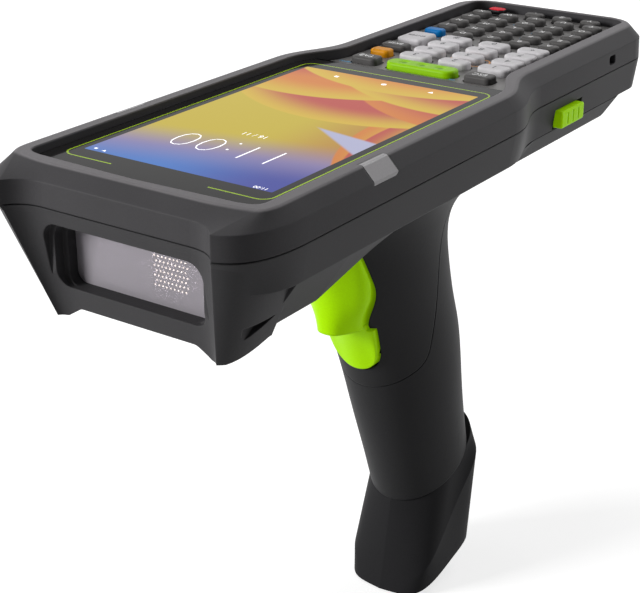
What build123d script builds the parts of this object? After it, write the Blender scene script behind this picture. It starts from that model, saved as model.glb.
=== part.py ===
from build123d import *
import os
from math import cos, radians, sin, tan

os.makedirs("parts", exist_ok=True)

# A pistol-grip mobile computer with a barcode reader in its nose, in millimetres.
# +X is to the right of the screen, -Y is the nose, +Z is up. The origin is under the
# middle of the length, at the height of the sole of the grip.
# Heights and reaches are taken from the datum: the middle of the picture, on the glass.

# Overall sizes
nose_reach = 67.7  # datum to the tips of the two cheeks beside the reader window
tail_reach = 138.6  # datum to the rear wall
sole_drop = 157.4  # glass top to the lowest point of the foot
body_half = 38.4  # half the width at the seam, beside the screen
tail_half = 32.6  # half the width at the seam, beside the keys
seam_drop = 7.0  # glass top to the seam between the two housings
crease_drop = 16.0  # glass top to the lower edge of the side walls
rim_rise = 1.9  # the rim stands this far above the glass
wall = 2.2
seam_gap = 0.3  # the dark line between two shells
fit_gap = 0.25  # a piece laid in a recess
run_gap = 0.35  # between pieces that move past each other

# The rim, the walls and where the body narrows
rim_half = 35.1
rim_tail_half = 28.4
rim_round = 0.9
shoulder_drop = 1.3  # the walls of the top housing stand upright below this
shoulder_inset = 0.25
side_start = 48.0  # the straight side begins, ahead of the datum
waist_start = 41.4  # the body begins to narrow, behind the datum
waist_end = 66.0
crease_draft = 1.6  # the side walls lean in by this much from seam to crease
tail_corner = 12.0  # plan radius of the rear corners

# The nose
brow_reach = 63.4  # the recessed front face, at the seam
brow_half = 23.9
brow_blend = 3.5  # the brow starts to turn into the cheeks this far inside its end
cheek_half = 28.9
rim_nose_reach = 59.6
rim_brow_half = 24.0
rim_cheek_half = 33.2  # the rim is nearly square at the nose
rim_cheek_reach = 57.3
hood_drop = 34.4  # bottom of the cheeks
hood_lean = 8.6  # the cheeks lean back by this much on the way down
hood_brow_half = 18.5
hood_cheek_half = 22.6
hood_half = 26.5
hood_back = 47.0
lip_rise = 2.6  # the lip between the cheeks ends above them
lip_half = 19.2
lip_slope = 2.8
lip_corner = 2.5
hood_wall = 3.8
notch_front = 57.8  # three-cornered recess behind each cheek
notch_back = 49.3
notch_tip = 57.1
notch_top = 24.2
notch_height = 4.4
notch_depth = 1.9

# The deck inside the rim
opening_half = 32.0
opening_tail_half = 25.2
opening_front = 57.5
opening_nose_turn = 2.6
opening_back = 136.0
opening_corner = 5.0
divider_reach = 52.6  # the glass ends here and the key plate begins
ledge_width = 2.6
plate_ledge = 1.0  # the narrower ledge under the key plate
ledge_underside = 3.6
glass_thickness = 1.1
gasket_thickness = 0.4
gasket_width = 1.9
plate_drop = 1.0  # key plate, below the glass
plate_thickness = 1.2

# Display
picture_width = 52.3
picture_length = 87.2
panel_border = 2.4
panel_half_length = 47.0
panel_thickness = 2.8

# Keys
key_rise = 1.9  # key tops above the plate
key_flange = 0.45  # the flange under the plate stands out by this much
flange_thickness = 0.6
key_draft = 4.0
key_round = 0.7
letter_pitch_x = 9.22
letter_pitch_y = 7.05
letter_first_y = 98.0
letter_columns = 5
letter_rows = 5
letter_width = 6.5
letter_depth = 4.1
number_pitch_x = 12.25
number_pitch_y = 7.5
number_first_x = -7.5
number_first_y = 68.9
number_columns = 3
number_rows = 4
number_width = 9.4
number_depth = 5.2
shift_x = -18.5  # the left-hand column of coloured and wide keys
power_row_y = 132.2
power_x = -16.3
power_width = 5.8
power_depth = 4.2
power_corner = 1.7
last_row_first_x = -3.4
top_row_y = 59.9
top_key_x = 17.6
top_key_width = 8.2
scan_bar_width = 21.5
scan_bar_depth = 6.2
mat_gap = 0.8  # key flange to rubber mat, at rest
mat_thickness = 0.8
key_board_thickness = 1.0

# Reader
window_half = 22.2
window_top = 10.8
window_bottom = 26.6
window_corner = 4.0
window_step = 1.4  # at the sides, for each step
window_step_top = 0.6
window_step_depth = 2.6
window_thickness = 1.5
window_seat = 55.0  # the window lies against this plane, ahead of the datum
window_lap = 1.6
engine_width = 32.0
engine_depth = 12.0
engine_gap = 1.0
engine_height = 13.6
lens_radius = 3.6
lamp_panel_width = 10.5
lamp_panel_height = 10.5

# Light pipes on the rim
pipe_front = 23.4
pipe_back = 13.2
pipe_drop = 2.1
pipe_inner = 33.8
pipe_skin = 1.3

# Underside
belly_half = 26.0
belly_drop_front = 30.6
belly_drop_rear = 24.0
belly_level_end = 28.0  # the deep front part of the keel is level up to here
belly_rise_end = 0.0
belly_back = 55.4
belly_round = 3.0
battery_front = 55.8
battery_back = 125.0
battery_core_half = 23.6
battery_core_top = 9.4
battery_core_back = 118.0
battery_round = 6.5
bumper_half = 18.0
bumper_start = 104.0
bumper_length = 10.0
bumper_depth = 1.9

# Battery latches
latch_front = 76.4
latch_length = 13.6
latch_top = 10.7
latch_height = 4.7
latch_proud = 1.5
latch_travel = 2.0
latch_pocket_depth = 1.1

# Screws
screw_radius = 1.0
screw_head_radius = 1.9
screw_head_height = 1.4
boss_radius = 2.8
column_radius = 3.4
front_screw_x = 25.0
front_screw_y = -50.5
waist_screw_x = 28.6
waist_screw_y = 51.0
rear_screw_x = 26.4
rear_screw_y = 129.6

# Main board
board_top = -8.0
board_thickness = 1.0
board_half = body_half - wall - 7.7
board_front = front_screw_y + column_radius + 2 * fit_gap
board_back = waist_screw_y - column_radius - 2 * fit_gap
rib_lap = 1.2  # the board rests on the ribs by this much
rib_place = 30.0
rib_thickness = 3.0

# Grip
grip_wall = 2.3
neck_y = 63.0  # a point of the slanted joint between grip and foot
neck_drop = 120.0
neck_tilt = 27.5  # degrees
sole_tilt = 14.6
foot_wall = 2.6
sole_edge = 1.0
foot_gap = 0.4
spigot_height = 7.5
spigot_inset = 2.5
spigot_wall = 1.6
keel_y = 60.0  # the crease round the foot lies in a steeper plane
keel_drop = 136.1
keel_tilt = 46.9
sole_front = 43.5
foot_screw_y = 60.0
foot_seat_drop = 128.0
foot_column_radius = 4.4
web_depth = 6.0
body_boss_x = 14.0
body_boss_y = 36.0
body_boss_depth = 11.0
grip_screw_radius = 1.25
grip_screw_head = 2.4
shroud_lip_y = 30.0
shroud_side_y = 42.0
shroud_drop = 86.0
shroud_corner = 8.0
shroud_shoulder = 45.0
battery_clear_drop = 24.5

# Trigger
trigger_half = 11.3
trigger_top = 33.4
bulge_drop = 44.5  # the bulge keeps its full width down to here
bulge_turn_half = 9.8
bulge_turn = 51.8
waist_half = 6.9
waist_drop = 58.8
bulge_bottom = 61.2
tongue_drop = 61.8
tongue_half = 8.4
tongue_low_half = 7.3
tongue_turn = 69.5
trigger_drop = 77.0
trigger_back = 29.6
tongue_back = 32.6  # below the switch
trigger_sink = 1.3  # the bulge dips by this much beside the shroud when pulled
pin_y = 28.5
pin_drop = 37.0
pin_radius = 1.5
pin_clearance = 0.05
boss_round = 3.6
slot_gap = 0.5
switch_face_y = 34.4
pin_half = 15.5

# Smaller sizes, in the order in which the pieces use them
tether_front = 108.4
tether_length = 4.0
tether_height = 2.6
tether_drop = 2.4
bay_gap = 0.4
bay_wall = 1.6
seal_inset = 0.7
seal_width = 1.0
dimple_radius = 5.0
dimple_depth = 0.3
dimple_pitch = 5.6
small_corner = 1.5
top_key_depth = 5.4
number_count = 0
orange_width = 6.4
orange_depth = 4.6
wide_depth = 5.0
wide_width = 8.4
key_gap = 0.25
ring_height = 0.5
ring_width = 0.7
shield_height = 2.0
gasket_depth = 1.0
lens_x = -10.5
aimer_x = -1.5
lamp_x = 9.5
rib_pitch = 3.2
rib_depth = 0.35
bracket_back = 42.0
bracket_front = 40.0
switch_width = 12.8
switch_top = 60.0
switch_bottom = 70.0
web_width = 7.0
web_top = 108.0
coil_room = 3.6  # half the width of the slot that holds the spring
coil_radius = 2.45
coil_wire = 0.35
coil_turns = 5
coil_pitch = 1.0
plunger_rise = 0.8


# ---- Datum planes --------------------------------------------------------------------
deck_y = (nose_reach - tail_reach) / 2
deck_z = sole_drop


def level(height):
    """Horizontal plane at a height above the glass, seen from above."""
    return Plane(origin=(0, deck_y, deck_z + height))


def side(x):
    """Upright plane at a distance to the right, seen from the right: (+Y, +Z)."""
    return Plane(origin=(x, deck_y, deck_z), x_dir=(0, 1, 0), z_dir=(1, 0, 0))


def front(y):
    """Upright plane behind the datum, seen from the nose: (+X, +Z)."""
    return Plane(origin=(0, deck_y + y, deck_z), x_dir=(1, 0, 0), z_dir=(0, -1, 0))


def slanted(y, drop, tilt):
    """Plane that rises towards the tail; its local x and y are +X and up the slope."""
    normal = (0, -sin(radians(tilt)), cos(radians(tilt)))
    return Plane(origin=(0, deck_y + y, deck_z - drop), x_dir=(1, 0, 0), z_dir=normal)


def save(piece, name):
    """Labels a finished piece and writes it under its own name."""
    piece.part.label = name
    export_step(piece.part, f"parts/{name}.step")


# ---- Outlines of the body in plan ----------------------------------------------------
seam_ring = dict(
    side=body_half,
    tail=tail_half,
    nose=brow_reach,
    brow_x=brow_half,
    cheek_x=cheek_half,
    cheek_y=nose_reach,
    brow_turn=-57.0,
    cheek_turn=16.7,
    back=tail_reach,
    corner=tail_corner,
)
rim_ring = dict(
    side=rim_half,
    tail=rim_tail_half,
    nose=rim_nose_reach,
    brow_x=rim_brow_half,
    cheek_x=rim_cheek_half,
    cheek_y=rim_cheek_reach,
    brow_turn=16.0,
    cheek_turn=22.0,
    back=tail_reach - 1.3,
    corner=tail_corner - 2.5,
)
crease_ring = dict(
    side=body_half - crease_draft,
    tail=tail_half - crease_draft * 0.75,
    nose=brow_reach - 3.0,
    brow_x=brow_half - 2.0,
    cheek_x=cheek_half - 3.0,
    cheek_y=nose_reach - 4.5,
    brow_turn=-57.0,
    cheek_turn=16.7,
    back=tail_reach - 0.4,
    corner=tail_corner - 0.4,
)


def between(low, high, share):
    """Ring part of the way from one ring to another."""
    return {key: low[key] + (high[key] - low[key]) * share for key in low}


def heading(angle):
    """Direction in plan, in degrees from +X."""
    return (cos(radians(angle)), sin(radians(angle)))


def nose_curve(ring, inset):
    """Right-hand half of the nose in plan: brow, cheek and the turn into the side."""
    brow = (ring["brow_x"] - brow_blend - inset * 0.5, -ring["nose"] + inset)
    cheek = (ring["cheek_x"] - inset * 0.7, -ring["cheek_y"] + inset)
    half = ring["side"] - inset
    Line((0, brow[1]), brow)
    Spline(brow, cheek, tangents=((1, 0), heading(ring["brow_turn"])))
    Spline(cheek, (half, -side_start), tangents=(heading(ring["cheek_turn"]), (0, 1)))


def ring_line(ring, inset):
    """Right-hand half of a body outline, from the middle of the nose to the tail."""
    half = ring["side"] - inset
    tail = ring["tail"] - inset
    back = ring["back"] - inset
    corner = ring["corner"] - inset
    nose_curve(ring, inset)
    Line((half, -side_start), (half, waist_start))
    Spline((half, waist_start), (tail, waist_end), tangents=((0, 1), (0, 1)))
    Line((tail, waist_end), (tail, back - corner))
    CenterArc((tail - corner, back - corner), corner, 0, 90)
    Line((tail - corner, back), (0, back))


def body_loft(*rings):
    """Solid through body outlines, each given as (height, ring, inset)."""
    with BuildPart() as form:
        for height, ring, inset in rings:
            with BuildSketch(level(height)):
                with BuildLine():
                    ring_line(ring, inset)
                    mirror(about=Plane.YZ)
                make_face()
        loft(ruled=True)
    return form.part


def deck_line(inset, back=opening_back):
    """Right-hand half of the opening inside the rim."""
    half = opening_half - inset
    tail = opening_tail_half - inset
    nose = opening_front - inset
    turn = opening_corner
    nose_turn = opening_nose_turn
    Line((0, -nose), (half - nose_turn * 2, -nose + 1.0))
    Spline(
        (half - nose_turn * 2, -nose + 1.0),
        (half, -nose + nose_turn + 2.4),
        tangents=((1, 0.1), (0, 1)),
    )
    Line((half, -nose + nose_turn + 2.4), (half, waist_start + 1.0))
    Spline((half, waist_start + 1.0), (tail, waist_end - 2.0), tangents=((0, 1), (0, 1)))
    Line((tail, waist_end - 2.0), (tail, back - inset - turn))
    CenterArc((tail - turn, back - inset - turn), turn, 0, 90)
    Line((tail - turn, back - inset), (0, back - inset))


def deck_face(height, inset, near=None, far=None):
    """Face of the deck opening, kept between two distances behind the datum."""
    long_side = 2 * (nose_reach + tail_reach)
    with BuildSketch(level(height)) as face:
        with BuildLine():
            deck_line(inset)
            mirror(about=Plane.YZ)
        make_face()
        if near is not None:
            with Locations((0, near + long_side / 2)):
                Rectangle(body_half * 3, long_side, mode=Mode.INTERSECT)
        if far is not None:
            with Locations((0, far - long_side / 2)):
                Rectangle(body_half * 3, long_side, mode=Mode.INTERSECT)
    return face.sketch


# ---- Main forms ----------------------------------------------------------------------
shoulder = -shoulder_drop
skin_shoulder = pipe_skin + shoulder_inset
with BuildPart() as top_form:
    add(
        body_loft(
            (seam_gap / 2 - seam_drop, seam_ring, 0),
            (shoulder, seam_ring, shoulder_inset),
            (rim_rise, rim_ring, 0),
        )
    )
    fillet(top_form.faces().sort_by(Axis.Z)[-1].edges(), rim_round)
top_skin = body_loft(
    (-seam_drop - 2, seam_ring, pipe_skin),
    (shoulder, seam_ring, skin_shoulder),
    (rim_rise - pipe_skin, rim_ring, pipe_skin),
)
top_core = body_loft(
    (-seam_drop - 1, seam_ring, wall), (-ledge_underside, seam_ring, wall + shoulder_inset)
)
band_form = body_loft(
    (-seam_drop - seam_gap / 2, seam_ring, 0), (-crease_drop, crease_ring, 0)
)
band_core = body_loft(
    (-seam_drop + 1, seam_ring, wall), (-crease_drop + wall, crease_ring, wall)
)


hood_ring = dict(
    side=hood_half,
    nose=brow_reach - hood_lean * 0.7,
    brow_x=hood_brow_half,
    cheek_x=hood_cheek_half,
    cheek_y=nose_reach - hood_lean,
    brow_turn=-57.0,
    cheek_turn=30.0,
)


def hood_loft(top, bottom, top_inset, inset):
    """Hood round the reader window, from inside the side walls down to the cheeks."""
    share = (-seam_drop - top) / (crease_drop - seam_drop)
    top_ring = between(seam_ring, crease_ring, share)
    with BuildPart() as form:
        for height, ring, shrink in ((top, top_ring, top_inset), (bottom, hood_ring, inset)):
            out = ring["side"] - shrink
            with BuildSketch(level(height)):
                with BuildLine():
                    nose_curve(ring, shrink)
                    Line((out, -side_start), (out, -hood_back))
                    Line((out, -hood_back), (0, -hood_back))
                    mirror(about=Plane.YZ)
                make_face()
        loft(ruled=True)
    return form.part


hood_form = hood_loft(-seam_drop - 0.6, -hood_drop, 0.12, 0)
hood_core = hood_loft(-seam_drop - 3.0, wall - belly_drop_front, wall + 0.4, hood_wall)

belly_stations = [
    (-hood_back - 1, body_half - crease_draft - 0.4, belly_half, belly_drop_front),
    (-belly_level_end, body_half - crease_draft - 0.4, belly_half, belly_drop_front),
    (belly_rise_end, body_half - crease_draft - 0.4, belly_half, belly_drop_rear),
    (40.0, body_half - crease_draft - 0.8, belly_half, belly_drop_rear),
    (belly_back, tail_half + 0.4, belly_half, belly_drop_rear),
]


def belly_loft(inset):
    """Keel under the side walls, from the hood to the battery."""
    with BuildPart() as form:
        for y, top, bottom, drop in belly_stations:
            with BuildSketch(front(y)) as section:
                with BuildLine():
                    Polyline(
                        (top - inset, -crease_drop + 0.6 + inset),
                        (bottom - inset, -drop + inset),
                        (-bottom + inset, -drop + inset),
                        (-top + inset, -crease_drop + 0.6 + inset),
                        close=True,
                    )
                make_face()
                low = section.vertices().group_by(Axis.Y)[0]
                fillet(low, belly_round - inset * 0.5)
        loft(ruled=True)
    return form.part


belly_form = belly_loft(0)
belly_core = belly_loft(wall)

# Horizontal sections of the grip: drop, middle, half width and half depth
grip_stations = [
    (belly_drop_rear, 32.7, 25.8, 33.2),
    (30.0, 33.0, 21.5, 29.5),
    (37.0, 34.5, 18.9, 26.8),
    (46.0, 37.5, 17.6, 25.0),
    (57.0, 42.1, 17.0, 23.0),
    (69.0, 47.7, 16.5, 21.5),
    (81.0, 52.1, 15.8, 20.5),
    (93.0, 55.4, 15.1, 19.6),
    (105.0, 58.9, 14.5, 18.8),
    (118.0, 63.0, 14.0, 18.2),
    (132.0, 68.2, 13.7, 17.8),
]


def grip_loft(inset):
    """The grip's full form, from under the keel to below its foot joint."""
    with BuildPart() as form:
        for drop, middle, half_width, half_depth in grip_stations:
            with BuildSketch(level(-drop)):
                with Locations((0, middle)):
                    Ellipse(half_width - inset, half_depth - inset)
        loft()
    return form.part


grip_form = grip_loft(0)
grip_core = grip_loft(grip_wall)
neck = slanted(neck_y, neck_drop, neck_tilt)


# ---- Top housing ---------------------------------------------------------------------
screw_places = [
    (sign * x, y)
    for sign in (-1, 1)
    for x, y in (
        (front_screw_x, front_screw_y),
        (waist_screw_x, waist_screw_y),
        (rear_screw_x, rear_screw_y),
    )
]
grip_screw_places = [(-body_boss_x, body_boss_y), (body_boss_x, body_boss_y)]
glass_seat = -glass_thickness - gasket_thickness
plate_seat = -plate_drop - plate_thickness

with BuildPart() as pipe_zone:
    with BuildSketch(level(-pipe_drop)) as pipe_plan:
        for sign in (-1, 1):
            with Locations((sign * body_half, -(pipe_front + pipe_back) / 2)):
                Rectangle(2 * (body_half - pipe_inner), pipe_front - pipe_back)
    extrude(amount=pipe_drop + rim_rise + 1)
    low_edges = pipe_zone.edges().filter_by(Axis.X).group_by(Axis.Z)[0]
    fillet(low_edges.group_by(Axis.Y)[-1], 1.6)

with BuildPart() as pipe_form:
    add(top_form.part)
    add(top_skin, mode=Mode.SUBTRACT)
    add(pipe_zone.part, mode=Mode.INTERSECT)


with BuildPart() as top_housing:
    add(top_form.part)
    add(top_core, mode=Mode.SUBTRACT)
    extrude(deck_face(glass_seat, 0), amount=seam_drop, mode=Mode.SUBTRACT)
    plate_bed = deck_face(plate_seat, 0, near=divider_reach)
    extrude(plate_bed, amount=seam_drop, mode=Mode.SUBTRACT)
    panel_hole = deck_face(
        -seam_drop, ledge_width, near=-panel_half_length, far=panel_half_length
    )
    extrude(panel_hole, amount=2 * seam_drop, mode=Mode.SUBTRACT)
    mat_hole = deck_face(-seam_drop, plate_ledge, near=divider_reach + ledge_width)
    extrude(mat_hole, amount=2 * seam_drop, mode=Mode.SUBTRACT)
    with BuildSketch(level(-ledge_underside)):
        with Locations(*screw_places):
            Circle(boss_radius)
    extrude(amount=ledge_underside - seam_drop)
    with BuildSketch(level(-seam_drop)):
        with Locations(*screw_places):
            Circle(screw_radius)
    extrude(amount=seam_drop - ledge_underside, mode=Mode.SUBTRACT)
    add(pipe_form.part, mode=Mode.SUBTRACT)
    with BuildSketch(side(tail_half)):
        with Locations((tether_front + tether_length / 2, -tether_drop - tether_height / 2)):
            RectangleRounded(tether_length, tether_height, tether_height / 3)
    extrude(amount=3.2, both=True, mode=Mode.SUBTRACT)
save(top_housing, "top_housing")


# ---- Bottom housing ------------------------------------------------------------------
def window_face(steps):
    """Window opening seen from the nose after some steps; its lower edge is level."""
    top = window_top + steps * window_step_top
    half = window_half - steps * window_step
    corner = window_corner - steps * window_step_top
    with BuildSketch(front(-window_front)) as face:
        with Locations((0, -(top + window_bottom) / 2)):
            RectangleRounded(2 * half, window_bottom - top, corner)
    return face.sketch


window_front = nose_reach + 1.0
floor_front = belly_drop_front - wall
floor_rear = belly_drop_rear - wall
seat_half = window_half - 2 * window_step + window_lap
seat_top = window_top + 2 * window_step_top - window_lap
seat_bottom = floor_front - 2 * fit_gap
column_top = crease_drop - 2.0

with BuildPart() as nose_cavity:
    add(band_core)
    add(hood_core)
    with BuildSketch(front(-window_front)):
        with Locations((0, -(window_top + window_bottom) / 2)):
            Rectangle(2 * (window_half + wall), window_bottom - window_top + 2 * wall)
    extrude(amount=-(window_front - window_seat + window_thickness + 1.0), mode=Mode.SUBTRACT)

with BuildPart() as shell_form:
    add(band_form)
    add(belly_form)
    add(hood_form)
    # the cheeks rise behind their tips to the level of the keel
    with BuildSketch(side(-body_half)):
        with BuildLine():
            Polyline(
                (-notch_front, -hood_drop - 1),
                (-notch_front, -hood_drop),
                (-hood_back - 1, -belly_drop_front),
                (-hood_back + 1, -belly_drop_front),
                (-hood_back + 1, -hood_drop - 1),
                close=True,
            )
        make_face()
    extrude(amount=2 * body_half, mode=Mode.SUBTRACT)

with BuildPart() as screw_columns:
    with BuildSketch(level(-seam_drop - seam_gap / 2)):
        with Locations(*screw_places):
            Circle(column_radius)
    extrude(amount=seam_drop - hood_drop)
    add(shell_form.part, mode=Mode.INTERSECT)

with BuildPart() as belly_clear:
    add(belly_form)
    add(band_form)

with BuildPart() as latch_slots:
    pocket_length = latch_length + latch_travel + 2 * run_gap
    pocket_height = latch_height + 2 * run_gap
    pocket_middle = latch_front + (latch_length + latch_travel) / 2
    latch_middle = -latch_top - latch_height / 2
    for sign in (-1, 1):
        with BuildSketch(side(sign * tail_half)):
            with Locations((pocket_middle, latch_middle)):
                Rectangle(pocket_length, pocket_height)
        extrude(amount=2 * latch_pocket_depth, both=True)
        with BuildSketch(side(sign * tail_half)):
            with Locations((pocket_middle, latch_middle)):
                Rectangle(pocket_length / 2, pocket_height / 2)
        extrude(amount=sign * -(tail_half - battery_core_half + 1))

bay_half = battery_core_half + bay_gap
bay_front = battery_front + 1.2 - bay_gap
bay_back = battery_core_back + bay_gap

with BuildPart() as bottom_housing:
    add(shell_form.part)
    add(belly_core, mode=Mode.SUBTRACT)
    add(nose_cavity.part, mode=Mode.SUBTRACT)
    add(screw_columns.part)
    # stepped window opening
    for step in range(3):
        reach = window_seat + (2 - step) * window_step_depth
        depth = window_front - reach
        extrude(window_face(step), amount=-depth, mode=Mode.SUBTRACT)
    with BuildSketch(front(-window_seat)):
        with Locations((0, -(seat_top + seat_bottom) / 2)):
            Rectangle(2 * (seat_half + fit_gap), seat_bottom - seat_top + 2 * fit_gap)
    extrude(amount=-(wall + 3), mode=Mode.SUBTRACT)
    # lip between the cheeks ends higher than they do
    with BuildSketch(front(-nose_reach)) as lip:
        with BuildLine():
            Polyline(
                (-lip_half - lip_slope, -hood_drop - 1),
                (-lip_half + lip_slope, -hood_drop + lip_rise),
                (lip_half - lip_slope, -hood_drop + lip_rise),
                (lip_half + lip_slope, -hood_drop - 1),
                close=True,
            )
        make_face()
        fillet(lip.vertices().group_by(Axis.Y)[-1], lip_corner)
    extrude(amount=-(nose_reach - hood_back) - 2, mode=Mode.SUBTRACT)
    # battery bay and the walls round it
    with BuildSketch(level(-crease_drop)):
        with Locations((0, (bay_front + bay_back) / 2)):
            Rectangle(2 * (bay_half + bay_wall), bay_back - bay_front + 2 * bay_wall)
            Rectangle(2 * bay_half, bay_back - bay_front, mode=Mode.SUBTRACT)
    extrude(amount=crease_drop - battery_core_top)
    with BuildSketch(level(-crease_drop - 1)):
        with Locations((0, (bay_front + bay_back) / 2)):
            Rectangle(2 * bay_half, bay_back - bay_front)
    extrude(amount=crease_drop, mode=Mode.SUBTRACT)
    with BuildSketch(level(-hood_drop)):
        with Locations(*screw_places):
            Circle(screw_head_radius + 0.3)
    extrude(amount=hood_drop - column_top, mode=Mode.SUBTRACT)
    with BuildSketch(level(-hood_drop)):
        with Locations(*screw_places):
            Circle(screw_radius + 0.1)
    extrude(amount=hood_drop, mode=Mode.SUBTRACT)
    # three-cornered recesses behind the cheeks
    for sign in (-1, 1):
        with BuildSketch(side(sign * (hood_half + notch_depth - 0.4))):
            with BuildLine():
                Polyline(
                    (-notch_front, -notch_top - 0.8),
                    (-notch_back, -notch_top),
                    (-notch_tip, -notch_top - notch_height),
                    close=True,
                )
            make_face()
        extrude(amount=sign * body_half, mode=Mode.SUBTRACT)
    # ribs that carry the main board
    rib_inner = board_half - rib_lap
    rib_outer = body_half - wall / 2
    for rib_y in (-rib_place, rib_place):
        for sign in (-1, 1):
            with BuildSketch(level(board_top - board_thickness)):
                with Locations((sign * (rib_inner + rib_outer) / 2, rib_y)):
                    Rectangle(rib_outer - rib_inner, rib_thickness)
            extrude(amount=-rib_thickness)
    add(latch_slots.part, mode=Mode.SUBTRACT)
    # holes in the keel's floor for the screws that hold the grip
    with BuildSketch(level(-belly_drop_rear - 1)):
        with Locations(*grip_screw_places):
            Circle(grip_screw_radius + 0.1)
    extrude(amount=wall + 2, mode=Mode.SUBTRACT)
save(bottom_housing, "bottom_housing")


# ---- Seal between the housings -------------------------------------------------------
with BuildPart() as housing_seal:
    for inset, mode in ((seal_inset, Mode.ADD), (seal_inset + seal_width, Mode.SUBTRACT)):
        with BuildSketch(level(-seam_drop - seam_gap / 2)) as seal_ring:
            with BuildLine():
                ring_line(seam_ring, inset)
                mirror(about=Plane.YZ)
            make_face()
        extrude(amount=seam_gap, mode=mode)
save(housing_seal, "housing_seal")


# ---- Display -------------------------------------------------------------------------
with BuildPart() as display_glass:
    extrude(deck_face(-glass_thickness, fit_gap, far=divider_reach - fit_gap), glass_thickness)
save(display_glass, "display_glass")

with BuildPart() as display_gasket:
    gasket_far = divider_reach - fit_gap
    extrude(deck_face(glass_seat, fit_gap, far=gasket_far), amount=gasket_thickness)
    gasket_hole = deck_face(glass_seat, gasket_width, far=gasket_far - gasket_width)
    extrude(gasket_hole, amount=gasket_thickness, mode=Mode.SUBTRACT)
save(display_gasket, "display_gasket")

with BuildPart() as display_panel:
    with BuildSketch(level(-glass_thickness)):
        RectangleRounded(picture_width + panel_border, picture_length + panel_border, 1.0)
    extrude(amount=-panel_thickness)
save(display_panel, "display_panel")


# ---- Light pipes ---------------------------------------------------------------------
with BuildPart() as light_pipe_right:
    add(pipe_form.part)
    split(bisect_by=Plane.YZ, keep=Keep.TOP)
save(light_pipe_right, "light_pipe_right")

with BuildPart() as light_pipe_left:
    mirror(light_pipe_right.part, about=Plane.YZ)
save(light_pipe_left, "light_pipe_left")


# ---- Keys ----------------------------------------------------------------------------
key_top = -plate_drop + key_rise
flange_top = plate_seat - run_gap / 2
flange_bottom = flange_top - flange_thickness


def key_block(places, width, depth, corner):
    """Keys of one size: a drafted cap over a flange that stays under the plate."""
    with BuildPart() as block:
        with BuildSketch(level(flange_bottom)):
            with Locations(*places):
                RectangleRounded(width + 2 * key_flange, depth + 2 * key_flange, corner)
        extrude(amount=flange_thickness)
        with BuildSketch(level(flange_top)):
            with Locations(*places):
                RectangleRounded(width, depth, corner)
        extrude(amount=key_top - flange_top, taper=key_draft)
        fillet(block.faces().group_by(Axis.Z)[-1].edges(), key_round)
    return block.part


letter_columns_x = [
    (column - (letter_columns - 1) / 2) * letter_pitch_x for column in range(letter_columns)
]
letter_corner = letter_depth / 2 - 0.15
number_corner = number_depth / 2 - 0.6
hole_shapes = []  # every key's place, size and corner, for the holes in the plate


def key_node(name, places, width, depth, corner):
    """One node of one or more keys, saved and remembered for the plate."""
    with BuildPart() as node:
        add(key_block(places, width, depth, corner))
    save(node, name)
    hole_shapes.append((places, width, depth, corner))
    return node


# long bar above the numbers, with three dimples for the thumb
with BuildPart() as scan_key:
    add(key_block([(0, top_row_y)], scan_bar_width, scan_bar_depth, scan_bar_depth / 2 - 0.2))
    dimple_height = key_top + dimple_radius - dimple_depth
    with Locations(level(dimple_height)):
        with Locations(*[(dimple_pitch * step, top_row_y) for step in (-1, 0, 1)]):
            Sphere(dimple_radius, mode=Mode.SUBTRACT)
save(scan_key, "scan_key")
hole_shapes.append(([(0, top_row_y)], scan_bar_width, scan_bar_depth, scan_bar_depth / 2 - 0.2))

key_node("top_key_left", [(-top_key_x, top_row_y)], top_key_width, top_key_depth, small_corner)
key_node("top_key_right", [(top_key_x, top_row_y)], top_key_width, top_key_depth, small_corner)

number_rows_y = [number_first_y + row * number_pitch_y for row in range(number_rows)]
number_columns_x = [
    number_first_x + column * number_pitch_x for column in range(number_columns)
]
for row_y in number_rows_y:
    for column_x in number_columns_x:
        number_count += 1
        key_node(
            f"number_key_{number_count}",
            [(column_x, row_y)],
            number_width,
            number_depth,
            number_corner,
        )

enter_depth = number_pitch_y + wide_depth - 2.2
enter_y = (number_rows_y[2] + number_rows_y[3]) / 2
key_node("orange_key", [(shift_x, number_rows_y[0])], orange_width, orange_depth, small_corner)
key_node("wide_key", [(shift_x, number_rows_y[1])], wide_width, wide_depth, small_corner)
key_node("enter_key", [(shift_x, enter_y)], wide_width, enter_depth, small_corner)
key_node("blue_key", [(shift_x, letter_first_y)], orange_width, letter_depth, small_corner)

first_row = [(x, letter_first_y) for x in letter_columns_x[1:]]
key_node("letter_keys_1", first_row, letter_width, letter_depth, letter_corner)
for row in range(1, letter_rows):
    row_y = letter_first_y + row * letter_pitch_y
    row_places = [(x, row_y) for x in letter_columns_x]
    key_node(
        f"letter_keys_{row + 1}", row_places, letter_width, letter_depth, letter_corner
    )
last_row = [(last_row_first_x + step * letter_pitch_x, power_row_y) for step in range(3)]
key_node(
    f"letter_keys_{letter_rows + 1}", last_row, letter_width, letter_depth, letter_corner
)
key_node("power_key", [(power_x, power_row_y)], power_width, power_depth, power_corner)


# ---- Key plate, rubber mat and key board ---------------------------------------------
with BuildPart() as keypad_plate:
    plate_face = deck_face(plate_seat, fit_gap, near=divider_reach + fit_gap)
    extrude(plate_face, amount=plate_thickness)
    with BuildSketch(level(-plate_drop)):
        with Locations((power_x, power_row_y)):
            RectangleRounded(
                power_width + 2 * (key_gap + ring_width),
                power_depth + 2 * (key_gap + ring_width),
                power_corner + key_gap + ring_width,
            )
    extrude(amount=ring_height)
    for places, width, depth, corner in hole_shapes:
        with BuildSketch(level(plate_seat)):
            with Locations(*places):
                RectangleRounded(width + 2 * key_gap, depth + 2 * key_gap, corner + key_gap)
        extrude(amount=plate_thickness + ring_height, mode=Mode.SUBTRACT)
save(keypad_plate, "keypad_plate")

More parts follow.
